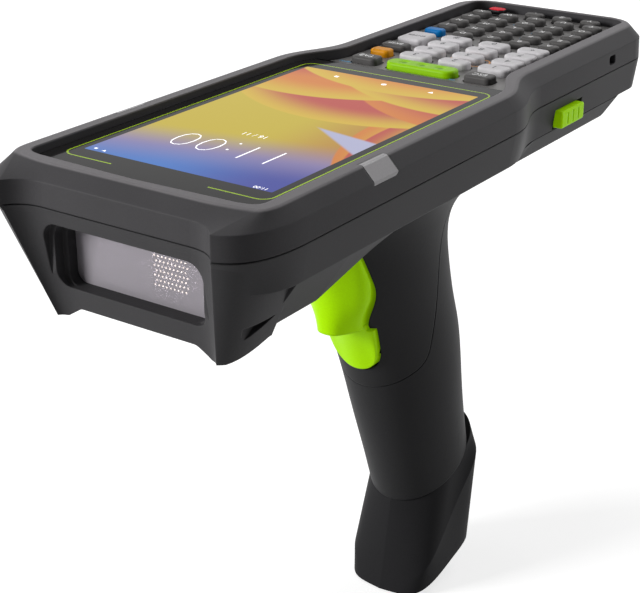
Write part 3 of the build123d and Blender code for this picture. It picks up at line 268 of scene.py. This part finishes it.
# painted light: a faint lime glow lifts the lime parts, so the trigger's top, shaded by the nose, reads as
# bright as its lit side
paintedGlow = {"Emission Color": (*shellTone["lime"], 1), "Emission Strength": 0.22, **dull}
limePlastic = plastic("limePlastic", shellTone["lime"], 0.34, 0.08, 2600.0, 0.0007, **paintedGlow)
rubberFinish = plastic("rubberFinish", shellTone["rubber"], 0.7, 0.5, 3200.0, 0.0003, **dull)
dress(topPlastic, "top_housing")
dress(lowerPlastic, "bottom_housing")
dress(gripPlastic, "grip_shroud", "grip_sleeve")
dress(footPlastic, "grip_foot")
dress(batteryPlastic, "battery")
dress(limePlastic, "trigger", "battery_latch_left", "battery_latch_right")
dress(rubberFinish, "housing_seal", "display_gasket", "window_gasket", "rear_bumper", "keypad_mat")

keyTone = {
    "dark": (0.070, 0.067, 0.066),
    "white": (0.53, 0.515, 0.53),
    "orange": (0.60, 0.24, 0.004),
    "blue": (0.0, 0.14, 0.40),
    "red": (0.62, 0.004, 0.02),
}
letterNodes = [name for name in nodes if name.startswith("letter_keys")]
numberNodes = [name for name in nodes if name.startswith("number_key")]
firm = {"Specular IOR Level": 0.1}
darkKey = plastic("darkKey", keyTone["dark"], 0.42, 0.15, 3200.0, 0.0003, **firm)
whiteKey = plastic("whiteKey", keyTone["white"], 0.38, 0.1, 3200.0, 0.0003, **firm)
dress(darkKey, "top_key_left", "top_key_right", "wide_key", *letterNodes)
dress(whiteKey, "enter_key", *numberNodes)
dress(plastic("orangeKey", keyTone["orange"], 0.38, 0.1, 3200.0, 0.0003, **firm), "orange_key")
dress(plastic("blueKey", keyTone["blue"], 0.38, 0.1, 3200.0, 0.0003, **firm), "blue_key")

powerKey = {"skirt": (0.008, 0.008, 0.009, 1), "redFrom": 0.0008, "inset": 0.0008, "flat": 0.0002}


def powerFinish():
    # red crown above a black skirt
    material, tree, shader = makeMaterial("redKey", **firm)
    low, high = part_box("power_key")
    x, y, z = objectAxes(tree)
    halfX, halfY = (high.x - low.x) / 2, (high.y - low.y) / 2
    x = mathNode(tree, "SUBTRACT", x, (low.x + high.x) / 2)
    y = mathNode(tree, "SUBTRACT", y, (low.y + high.y) / 2)
    edge = roundedFrame(tree, x, y, halfX, halfY, halfY - powerKey["flat"])
    nearTop = mathNode(tree, "GREATER_THAN", z, high.z - powerKey["redFrom"])
    crown = mathNode(tree, "MULTIPLY", nearTop, mathNode(tree, "LESS_THAN", edge, -powerKey["inset"]))
    tone = mixColour(tree, crown, powerKey["skirt"], (*keyTone["red"], 1))
    grained(tree, shader, tone, 0.35, 0.1, 3200.0, 0.0003)
    return material


dress(powerFinish(), "power_key")
print("plastics done")


# metals, boards, lenses and windows
def metal(name, tone, roughness, scratches=900.0):
    material, tree, shader = makeMaterial(name, Metallic=1.0)
    streak = noise(tree, objectCoordinates(tree), scratches, 4.0)
    feed(tree, shader.inputs["Roughness"], spread(tree, streak, roughness * 0.75, roughness * 1.35))
    worn = tuple(channel * 0.8 for channel in tone)
    feed(tree, shader.inputs["Base Color"], mixColour(tree, streak, (*worn, 1), (*tone, 1)))
    return material


zincSteel = metal("zincSteel", (0.55, 0.55, 0.53), 0.34)
dress(zincSteel, "housing_screws", "grip_screws", "foot_screw", "trigger_spring")
dress(metal("groundPin", (0.72, 0.72, 0.73), 0.18), "trigger_pin")
dress(metal("shieldSheet", (0.68, 0.68, 0.66), 0.3, 400.0), "shield_cans")
dress(metal("contactGold", (0.83, 0.62, 0.25), 0.25), "battery_contacts")
boardLaminate = plastic("boardLaminate", (0.01, 0.11, 0.04), 0.35, 0.2, 900.0, 0.0002)
dress(boardLaminate, "main_board", "keypad_board")
dress(plastic("engineBody", (0.05, 0.048, 0.052), 0.5, 0.3, 2600.0, 0.0003), "scan_engine")
dress(plastic("partBody", (0.018, 0.018, 0.02), 0.5, 0.3, 2600.0, 0.0003), "speaker", "trigger_switch")


windowPane = {"tone": (0.50, 0.47, 0.51, 1), "clear": 0.5, "bend": 1.08, "smearSize": 60.0, "haze": 0.012}


def windowGlass():
    # smoky lilac pane: mostly veiled, a little of the reader shows through
    material, tree, shader = makeMaterial(
        "windowGlass",
        **{
            "Base Color": windowPane["tone"],
            "IOR": windowPane["bend"],
            "Transmission Weight": windowPane["clear"],
        },
    )
    smear = noise(tree, objectCoordinates(tree), windowPane["smearSize"])
    feed(tree, shader.inputs["Roughness"], spread(tree, smear, 0.0, windowPane["haze"]))
    return material


dress(windowGlass(), "scan_window")

lens = {
    "pupil": (0.02, 0.012, 0.03, 1),
    "ring": (0.30, 0.22, 0.34, 1),
    "pupilRadius": 0.0012,
    "ringRadius": 0.0026,
}


def lensGlass():
    # a dark pupil inside a violet coated ring
    material, tree, shader = makeMaterial("lensGlass", **{"Roughness": 0.05, "Coat Weight": 1.0})
    low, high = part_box("scan_lens")
    x, _, z = objectAxes(tree)
    across = mathNode(tree, "SUBTRACT", x, (low.x + high.x) / 2)
    up = mathNode(tree, "SUBTRACT", z, (low.z + high.z) / 2)
    ring = smoothStep(tree, lengthOf(tree, across, up), lens["pupilRadius"], lens["ringRadius"])
    feed(tree, shader.inputs["Base Color"], mixColour(tree, ring, lens["pupil"], lens["ring"]))
    return material


dress(lensGlass(), "scan_lens")
dress(plastic("lampPanel", (0.30, 0.27, 0.24), 0.4, 0.2, 2600.0, 0.0002), "lamp_panel")

lightPipe = {"tone": (0.30, 0.29, 0.30, 1), "joint": (0.006, 0.006, 0.006, 1), "jointWidth": 0.0003}


def pipeFinish():
    # milky pipe with a dark joint line along its two ends and its inner edge
    material, tree, shader = makeMaterial("pipePlastic", **{"Specular IOR Level": 0.3})
    low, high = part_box("light_pipe_right")
    x, y = objectAxes(tree)[:2]
    along = mathNode(tree, "ABSOLUTE", mathNode(tree, "SUBTRACT", y, (low.y + high.y) / 2))
    atEnd = mathNode(tree, "GREATER_THAN", along, (high.y - low.y) / 2 - lightPipe["jointWidth"])
    across = mathNode(tree, "ABSOLUTE", x)
    atInside = mathNode(tree, "LESS_THAN", across, low.x + lightPipe["jointWidth"])
    joint = mathNode(tree, "MAXIMUM", atEnd, atInside)
    tone = mixColour(tree, joint, lightPipe["tone"], lightPipe["joint"])
    grained(tree, shader, tone, 0.3, 0.15, 2600.0, 0.0004)
    return material


dress(pipeFinish(), "light_pipe_left", "light_pipe_right")
print("metals and glass done")


# display glass: black border, lime line and a plain lit picture
picture = {"width": 0.0523, "length": 0.0872, "corner": 0.0003}
glassBorder = {"tone": (0.018, 0.0172, 0.017, 1), "joint": (0.0, 0.0, 0.0, 1), "jointWidth": 0.0008}
limeLine = {
    "half": 0.0284,
    "near": -0.0484,
    "far": 0.0474,
    "corner": 0.0030,
    "width": 0.00045,
    "gapLeft": -0.0137,
    "gapRight": 0.0131,
    "colour": (0.36, 0.55, 0.02, 1),
}
wallpaper = {
    "blue": (0.05, 0.22, 0.70, 1),
    "indigo": (0.05, 0.07, 0.42, 1),
    "lilac": (0.32, 0.26, 0.50, 1),
    "yellow": (0.70, 0.54, 0.02, 1),
    "amber": (0.60, 0.30, 0.03, 1),
    "orange": (0.80, 0.24, 0.02, 1),
    "red": (0.60, 0.07, 0.05, 1),
    "gold": (0.82, 0.56, 0.03, 1),
    "pale": (0.55, 0.56, 0.80, 1),
    "brightness": 0.72,
    "tilt": -0.12,
    "indigoBand": (-0.3, 0.9),
    "lilacBand": (-0.98, -0.55),
    "glowBand": (-0.7, -0.3),
    "amberBand": (0.0, 0.9),
    "edge": 0.02,
    "depth": 0.32,
    "squeeze": 0.8,
}
# pale wedge: how steep its two sides run, how far the lower one is shifted, how soft each is
wedge = {
    "topSlope": -0.10,
    "lowSlope": -0.42,
    "shift": -0.12,
    "topBand": (0.03, 0.0),
    "lowBand": (0.02, -0.01),
}
# each fold: its centre and radius in half pictures, the colour of its rim and the colour further in
folds = (
    ((2.15, 0.25), 1.2, "orange", "gold"),
    ((2.35, 0.15), 1.22, "red", "gold"),
    ((0.1, 1.95), 1.86, "gold", "red"),
    ((1.3, 2.05), 1.75, "orange", "red"),
    ((-0.7, 2.35), 1.92, "gold", "orange"),
    ((0.9, 2.5), 1.95, "gold", "red"),
    ((-1.3, 2.3), 1.6, "orange", "red"),
    ((0.1, 2.75), 2.0, "gold", "orange"),
)


def foldMask(tree, u, v, centre, radius, width):
    # 1 inside a fold's round outline, fading over the width at its rim
    across = mathNode(tree, "MULTIPLY", mathNode(tree, "SUBTRACT", u, centre[0]), wallpaper["squeeze"])
    along = mathNode(tree, "SUBTRACT", v, centre[1])
    return smoothStep(tree, lengthOf(tree, across, along), radius, radius - width)


def limeMask(tree, x, y):
    # a rounded line round the picture, open in the middle of the nose side
    reach = (limeLine["far"] - limeLine["near"]) / 2
    lineY = mathNode(tree, "SUBTRACT", y, (limeLine["near"] + limeLine["far"]) / 2)
    line = roundedFrame(tree, x, lineY, limeLine["half"], reach, limeLine["corner"])
    onLine = mathNode(tree, "LESS_THAN", mathNode(tree, "ABSOLUTE", line), limeLine["width"] / 2)
    nose = mathNode(tree, "LESS_THAN", lineY, -reach * 0.9)
    pastLeft = mathNode(tree, "GREATER_THAN", x, limeLine["gapLeft"])
    pastRight = mathNode(tree, "LESS_THAN", x, limeLine["gapRight"])
    gap = mathNode(tree, "MULTIPLY", nose, mathNode(tree, "MULTIPLY", pastLeft, pastRight))
    return mathNode(tree, "MULTIPLY", onLine, mathNode(tree, "SUBTRACT", 1.0, gap))


def wallpaperColour(tree, x, y):
    # blue at the nose end, a warm glow in the middle and a fan of folds beyond it
    u = mathNode(tree, "DIVIDE", x, picture["width"] / 2)
    v = mathNode(tree, "DIVIDE", y, picture["length"] / 2)
    slope = mathNode(tree, "ADD", v, mathNode(tree, "MULTIPLY", u, wallpaper["tilt"]))
    indigo = smoothStep(tree, u, *wallpaper["indigoBand"])
    ground = mixColour(tree, indigo, wallpaper["blue"], wallpaper["indigo"])
    lilac = smoothStep(tree, slope, *wallpaper["lilacBand"])
    ground = mixColour(tree, lilac, ground, wallpaper["lilac"])
    amber = smoothStep(tree, u, *wallpaper["amberBand"])
    glow = mixColour(tree, amber, wallpaper["yellow"], wallpaper["amber"])
    ground = mixColour(tree, smoothStep(tree, slope, *wallpaper["glowBand"]), ground, glow)
    for centre, radius, rimColour, coreColour in folds:
        inside = foldMask(tree, u, v, centre, radius, wallpaper["edge"])
        deep = foldMask(tree, u, v, centre, radius, wallpaper["depth"])
        fold = mixColour(tree, deep, wallpaper[rimColour], wallpaper[coreColour])
        ground = mixColour(tree, inside, ground, fold)
    # pale wedge that opens towards the right-hand edge
    aboveTop = mathNode(tree, "SUBTRACT", v, mathNode(tree, "MULTIPLY", u, wedge["topSlope"]))
    lowLine = mathNode(tree, "MULTIPLY", u, wedge["lowSlope"])
    belowLow = mathNode(tree, "SUBTRACT", lowLine, mathNode(tree, "ADD", v, wedge["shift"]))
    topSide = smoothStep(tree, aboveTop, *wedge["topBand"])
    lowSide = smoothStep(tree, belowLow, *wedge["lowBand"])
    return mixColour(tree, mathNode(tree, "MULTIPLY", topSide, lowSide), ground, wallpaper["pale"])


def displayGlass():
    material, tree, shader = makeMaterial(
        "displayGlass", **{"Roughness": 0.08, "Emission Strength": wallpaper["brightness"], **dull}
    )
    x, y = objectAxes(tree)[:2]
    keyEnd = mathNode(tree, "GREATER_THAN", y, glassEnd - glassBorder["jointWidth"])
    y = mathNode(tree, "SUBTRACT", y, pictureY)
    base = mixColour(tree, limeMask(tree, x, y), glassBorder["tone"], limeLine["colour"])
    feed(tree, shader.inputs["Base Color"], mixColour(tree, keyEnd, base, glassBorder["joint"]))
    edge = roundedFrame(tree, x, y, picture["width"] / 2, picture["length"] / 2, picture["corner"])
    lit = mathNode(tree, "LESS_THAN", edge, 0.0)
    screen = mixColour(tree, lit, (0, 0, 0, 1), wallpaperColour(tree, x, y))
    feed(tree, shader.inputs["Emission Color"], screen)
    return material


dress(displayGlass(), "display_glass")
dress(plastic("panelBack", (0.02, 0.02, 0.022), 0.4, 0.2, 2600.0, 0.0003), "display_panel")
print("display done")


# key plate: orange outline round the middle key, black collar round the power key
outline = {
    "grow": 0.0008,
    "corner": 0.0030,
    "width": 0.00042,
    "colour": (0.80, 0.33, 0.07, 1),
    "plate": (0.125, 0.12, 0.118),
    "collar": (0.008, 0.008, 0.009, 1),
    "collarRise": 0.0004,
}


def keyPlate():
    material, tree, shader = makeMaterial("keyPlate")
    low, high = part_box("number_key_5")
    x, y, z = objectAxes(tree)
    x = mathNode(tree, "SUBTRACT", x, (low.x + high.x) / 2)
    y = mathNode(tree, "SUBTRACT", y, (low.y + high.y) / 2)
    halfX = (high.x - low.x) / 2 + outline["grow"]
    halfY = (high.y - low.y) / 2 + outline["grow"]
    ring = roundedFrame(tree, x, y, halfX, halfY, outline["corner"])
    onRing = mathNode(tree, "LESS_THAN", mathNode(tree, "ABSOLUTE", ring), outline["width"] / 2)
    raised = mathNode(tree, "GREATER_THAN", z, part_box("keypad_plate")[1].z - outline["collarRise"])
    colour = grained(tree, shader, (*outline["plate"], 1), 0.42, 0.3, 2600.0, 0.0002)
    colour = mixColour(tree, onRing, colour, outline["colour"])
    feed(tree, shader.inputs["Base Color"], mixColour(tree, raised, colour, outline["collar"]))
    return material


dress(keyPlate(), "keypad_plate")


# scan bar: lime, with a darker pip in each of its three dimples
scanBar = {"tone": (0.24, 0.52, 0.0, 1), "pitch": 0.0056, "radius": 0.0007, "pip": (0.13, 0.33, 0.0, 1)}


def scanBarFinish():
    material, tree, shader = makeMaterial("scanBarLime", **firm)
    low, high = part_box("scan_key")
    x, y = objectAxes(tree)[:2]
    along = mathNode(tree, "SUBTRACT", y, (low.y + high.y) / 2)
    pips = None
    for step in (-1, 0, 1):
        across = mathNode(tree, "SUBTRACT", x, step * scanBar["pitch"])
        away = lengthOf(tree, across, along)
        pip = smoothStep(tree, away, scanBar["radius"] * 1.3, scanBar["radius"] * 0.8)
        pips = pip if pips is None else mathNode(tree, "MAXIMUM", pips, pip)
    colour = grained(tree, shader, scanBar["tone"], 0.36, 0.1, 3200.0, 0.0004)
    feed(tree, shader.inputs["Base Color"], mixColour(tree, pips, colour, scanBar["pip"]))
    return material


dress(scanBarFinish(), "scan_key")
print("key plate and scan bar done")


# printed words: each is turned into a mesh before it is laid in place
def ink(name, tone, roughness=0.45, glow=0.0):
    material, tree, shader = makeMaterial(name, **{"Roughness": roughness})
    flecks = noise(tree, objectCoordinates(tree), 3000.0)
    worn = tuple(channel * 0.86 for channel in tone)
    colour = mixColour(tree, flecks, (*worn, 1), (*tone, 1))
    feed(tree, shader.inputs["Base Color"], colour)
    if glow:
        feed(tree, shader.inputs["Emission Color"], colour)
        shader.inputs["Emission Strength"].default_value = glow
    return material


def wordForm(words, size, thin=0.0, thickness=0.000015):
    # flat word, centred on the origin and readable from the key end
    curve = bpy.data.curves.new("word", "FONT")
    curve.body = words
    curve.size = size
    curve.align_x = "CENTER"
    curve.align_y = "CENTER"
    curve.offset = -thin
    curve.extrude = thickness
    curve.resolution_u = 3
    holder = bpy.data.objects.new("word", curve)
    bpy.context.scene.collection.objects.link(holder)
    bpy.context.view_layer.update()
    ready = holder.evaluated_get(bpy.context.evaluated_depsgraph_get())
    mesh = bpy.data.meshes.new_from_object(ready)
    bpy.data.objects.remove(holder)
    form = bmesh.new()
    form.from_mesh(mesh)
    bpy.data.meshes.remove(mesh)
    bmesh.ops.rotate(form, verts=form.verts, cent=(0, 0, 0), matrix=Matrix.Rotation(math.pi, 3, "Z"))
    return form


def addPiece(name, forms, material, body):
    # forms: bmesh shapes with their places, joined into one piece
    mesh = bpy.data.meshes.new(name)
    joined = bmesh.new()
    for form, place in forms:
        bmesh.ops.translate(form, verts=form.verts, vec=place)
        part = bpy.data.meshes.new("part")
        form.to_mesh(part)
        form.free()
        joined.from_mesh(part)
        bpy.data.meshes.remove(part)
    joined.to_mesh(mesh)
    joined.free()
    mesh.materials.append(material)
    piece = bpy.data.objects.new(name, mesh)
    bpy.context.scene.collection.objects.link(piece)
    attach(piece, body)
    return piece


printed = {
    "rise": 0.00002,
    "digit": 0.0031,
    "letter": 0.0025,
    "small": 0.0014,
    "letterPitch": 0.00922,
    "plateStep": 0.0005,
}
darkInk = ink("darkInk", (0.05, 0.05, 0.055))
paleInk = ink("paleInk", (0.80, 0.80, 0.80))
blueInk = ink("blueInk", (0.10, 0.42, 0.72))
orangeInk = ink("orangeInk", (0.80, 0.33, 0.07))
millimetre = 0.001


def onTop(node):
    low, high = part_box(node)
    return Vector(((low.x + high.x) / 2, (low.y + high.y) / 2, high.z + printed["rise"]))


digits = ("3", "2", "1", "6", "5", "4", "9", "8", "7", "#", "0", "*")
for number, digit in enumerate(digits, 1):
    node = f"number_key_{number}"
    addPiece(f"digit_{number}", [(wordForm(digit, printed["digit"]), onTop(node))], darkInk, node)
keyWords = (
    ("ENTER", 0.0019, darkInk, "enter_key"),
    ("ESC", 0.0026, paleInk, "top_key_right"),
    ("TAB", 0.0026, paleInk, "top_key_left"),
    ("BKSP", 0.0021, paleInk, "wide_key"),
)
for words, size, tint, node in keyWords:
    addPiece(f"{words.lower()}_word", [(wordForm(words, size), onTop(node))], tint, node)

# letters from left to right and top to bottom, as read from the key end
letters = {
    "letter_keys_1": "ABCD",
    "letter_keys_2": "EFGHI",
    "letter_keys_3": "JKLMN",
    "letter_keys_4": "OPQRS",
    "letter_keys_5": "TUVWX",
    "letter_keys_6": "YZ.",
}
for node, row in letters.items():
    forms = []
    place = onTop(node)
    for column, letter in enumerate(row):
        shift = ((len(row) - 1) / 2 - column) * printed["letterPitch"]
        forms.append((wordForm(letter, printed["letter"]), place + Vector((shift, 0, 0))))
    addPiece(node.replace("keys", "marks"), forms, paleInk, node)

# small coloured words on the plate beside the keys: word, place across and place along, in mm
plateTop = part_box("keypad_plate")[1].z - printed["plateStep"] + printed["rise"]
plateWords = {
    "blue": (
        ("F2", 4.6, 94.6),
        ("F3", -5.0, 94.6),
        ("F4", -16.0, 94.6),
        ("F5", 4.6, 101.6),
        ("F6", -4.6, 101.6),
        ("F7", 4.6, 108.6),
        ("F8", -4.6, 108.6),
        ("F9", 4.6, 115.7),
        ("F10", -4.6, 122.7),
        ("OK", 10.6, 57.3),
        ("MENU", -23.0, 57.5),
    ),
    "orange": (
        ("+", -1.5, 72.6),
        ("-", 10.8, 72.6),
        ("<", 22.4, 76.4),
        (">", -13.4, 76.4),
        ("/", -1.5, 87.6),
    ),
}
for tint, material in (("blue", blueInk), ("orange", orangeInk)):
    forms = []
    for words, x, y in plateWords[tint]:
        place = Vector((x * millimetre, pictureY + y * millimetre, plateTop))
        forms.append((wordForm(words, printed["small"]), place))
    addPiece(f"plate_{tint}", forms, material, "handset")


def signForm(sides, radius, turn):
    # flat plain sign with the given number of sides
    form = bmesh.new()
    bmesh.ops.create_circle(form, cap_ends=True, segments=sides, radius=radius)
    bmesh.ops.rotate(form, verts=form.verts, cent=(0, 0, 0), matrix=Matrix.Rotation(turn, 3, "Z"))
    return form


# clock, date and small text on the display: words, place across, place along, size and thinning
screenInk = ink("screenInk", (0.92, 0.92, 0.95), 0.3, 0.75)
screenWords = (
    ("11:00", 0.8, -24.6, 14.6, 0.00052),
    ("16 / 11", -0.4, -14.0, 2.6, 0.00003),
    ("11:00", 22.6, -42.6, 1.7, 0.0),
)
forms = []
for words, x, y, size, thin in screenWords:
    place = Vector((x * millimetre, pictureY + y * millimetre, glassTop + printed["rise"]))
    forms.append((wordForm(words, size * millimetre, thin), place))
# square, round and three-cornered signs: sides, radius, turn, place across and place along
signs = (
    (4, 0.8, 45, -14.0, 39.6),
    (24, 0.75, 0, 0.4, 40.0),
    (3, 0.9, 0, 14.4, 40.2),
    (4, 0.55, 45, -24.0, -42.0),
    (3, 0.6, 0, -21.2, -42.4),
)
for sides, radius, turn, x, y in signs:
    place = Vector((x * millimetre, pictureY + y * millimetre, glassTop + printed["rise"]))
    forms.append((signForm(sides, radius * millimetre, math.radians(turn)), place))
addPiece("screen_words", forms, screenInk, "handset")
print("printed words done")


# reader: a field of lamp dots and a collar round the lens
reader = {
    "columns": 9,
    "rows": 9,
    "pitch": 0.00108,
    "rowPitch": 0.001145,
    "stagger": 0.25,
    "dot": 0.00021,
    "plateX": 0.0052,
    "plateSize": 0.0105,
    "plateThick": 0.0003,
    "plateEdge": 0.0001,
    "plateTone": (0.12, 0.11, 0.11),
    "glow": 8.0,
}
collar = {"radius": 0.0046, "bore": 0.0038, "thick": 0.0003, "stand": 0.0002, "tone": (0.25, 0.24, 0.26)}
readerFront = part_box("scan_engine")[0].y


def lampDots():
    # thin cover plate on the face of the reader, with a field of small cream lamps
    low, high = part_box("lamp_panel")
    x, z = reader["plateX"], (low.z + high.z) / 2
    size, thick = reader["plateSize"], reader["plateThick"]
    plate = bmesh.new()
    bmesh.ops.create_cube(plate, size=1.0)
    bmesh.ops.scale(plate, vec=(size, thick, size), verts=plate.verts)
    bmesh.ops.bevel(
        plate,
        geom=plate.edges[:],
        offset=reader["plateEdge"],
        offset_type="OFFSET",
        affect="EDGES",
        segments=2,
        profile=0.5,
        material=-1,
    )
    coverFinish = plastic("lampCover", reader["plateTone"], 0.5, 0.1, 2600.0, 0.0001)
    addPiece("lamp_cover", [(plate, Vector((x, readerFront - thick / 2, z)))], coverFinish, "handset")
    forms = []
    for row in range(reader["rows"]):
        for column in range(reader["columns"]):
            form = bmesh.new()
            bmesh.ops.create_uvsphere(form, u_segments=8, v_segments=4, radius=reader["dot"])
            stagger = reader["stagger"] if row % 2 else -reader["stagger"]
            across = (column - (reader["columns"] - 1) / 2 + stagger) * reader["pitch"]
            up = (row - (reader["rows"] - 1) / 2) * reader["rowPitch"]
            forms.append((form, Vector((x + across, readerFront - thick, z + up))))
    addPiece("lamp_dots", forms, ink("lampCream", (0.95, 0.86, 0.70), 0.4, reader["glow"]), "handset")


def lensCollar():
    low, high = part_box("scan_lens")
    middle = (low + high) / 2
    form = bmesh.new()
    bmesh.ops.create_circle(form, segments=48, radius=collar["radius"])
    inner = bmesh.ops.extrude_edge_only(form, edges=form.edges[:])["geom"]
    ring = [item for item in inner if isinstance(item, bmesh.types.BMVert)]
    share = collar["bore"] / collar["radius"]
    bmesh.ops.scale(form, vec=(share, share, 1), verts=ring)
    bmesh.ops.solidify(form, geom=form.faces[:], thickness=collar["thick"])
    bmesh.ops.rotate(form, verts=form.verts, cent=(0, 0, 0), matrix=Matrix.Rotation(math.pi / 2, 3, "X"))
    bmesh.ops.recalc_face_normals(form, faces=form.faces[:])
    place = Vector((middle.x, readerFront - collar["stand"], middle.z))
    addPiece("lens_collar", [(form, place)], metal("collarFinish", collar["tone"], 0.3), "handset")


lampDots()
lensCollar()
print("reader details done")


# floor, camera and lights
floorLook = {"tone": 0.5, "half": 3.0, "glowNear": 0.72, "glowFar": 1.0, "near": 0.25, "far": 1.1}


def directView(tree):
    # 1 for what the camera sees, straight or in gloss and glass; 0 for light that falls on things
    path = addNode(tree, "ShaderNodeLightPath")
    bounced = mathNode(tree, "MAXIMUM", path.outputs["Is Glossy Ray"], path.outputs["Is Transmission Ray"])
    return mathNode(tree, "MAXIMUM", path.outputs["Is Camera Ray"], bounced)


def makeFloor():
    mesh = bpy.data.meshes.new("floorPlane")
    form = bmesh.new()
    bmesh.ops.create_grid(form, x_segments=1, y_segments=1, size=floorLook["half"])
    form.to_mesh(mesh)
    form.free()
    floor = bpy.data.objects.new("floorPlane", mesh)
    bpy.context.scene.collection.objects.link(floor)
    material, tree, shader = makeMaterial(
        "paleFloor",
        **{
            "Base Color": (*[floorLook["tone"]] * 3, 1),
            "Roughness": 0.8,
            "Specular IOR Level": 0.0,
            "Emission Color": (1, 1, 1, 1),
        },
    )
    # the glow rises away from the object, where the lamps no longer reach
    reach = addNode(tree, "ShaderNodeVectorMath", operation="LENGTH")
    feed(tree, reach.inputs[0], objectCoordinates(tree))
    far = smoothStep(tree, reach.outputs["Value"], floorLook["near"], floorLook["far"])
    glow = spread(tree, far, floorLook["glowNear"], floorLook["glowFar"])
    feed(tree, shader.inputs["Emission Strength"], mathNode(tree, "MULTIPLY", directView(tree), glow))
    mesh.materials.append(material)


makeFloor()

cameraSettings = {
    "place": (0.19876, -0.31128, 0.25947),
    "right": (0.82259, 0.56863, 0.0),
    "up": (-0.22627, 0.32733, 0.91742),
    "back": (0.52167, -0.75466, 0.39793),
    "lens": 83.48,
}
cameraData = bpy.data.cameras.new("studioCamera")
cameraData.lens = cameraSettings["lens"]
cameraData.sensor_width = 36.0
camera = bpy.data.objects.new("studioCamera", cameraData)
bpy.context.scene.collection.objects.link(camera)
turn = Matrix((cameraSettings["right"], cameraSettings["up"], cameraSettings["back"])).transposed()
camera.matrix_world = Matrix.Translation(cameraSettings["place"]) @ turn.to_4x4()
bpy.context.scene.camera = camera

lamps = {
    "overheadLight": {"place": (-0.2, -0.1, 1.1), "size": 0.6, "power": 3.8},
    "noseLight": {"place": (-0.75, -0.95, 0.45), "size": 0.4, "power": 16.5},
    "sideLight": {"place": (0.95, 0.7, 0.45), "size": 0.3, "power": 4.0},
    "backLight": {"place": (0.1, 1.0, 1.0), "size": 0.5, "power": 3.0},
}
aim = Vector((0.0, 0.0, 0.12))  # the middle of the object
for name, lamp in lamps.items():
    light = bpy.data.lights.new(name, "AREA")
    light.size = lamp["size"]
    light.energy = lamp["power"]
    holder = bpy.data.objects.new(name, light)
    bpy.context.scene.collection.objects.link(holder)
    holder.location = lamp["place"]
    holder.rotation_euler = (aim - Vector(lamp["place"])).to_track_quat("-Z", "Y").to_euler()

studio = {"fill": 0.11, "seen": 1.0}
world = bpy.data.worlds.new("paleStudio")
bpy.context.scene.world = world
world.use_nodes = True
sky = world.node_tree.nodes["Background"]
sky.inputs["Color"].default_value = (1, 1, 1, 1)
brightness = spread(world.node_tree, directView(world.node_tree), studio["fill"], studio["seen"])
feed(world.node_tree, sky.inputs["Strength"], brightness)
bpy.context.scene.view_settings.view_transform = "Standard"
print("stage done")
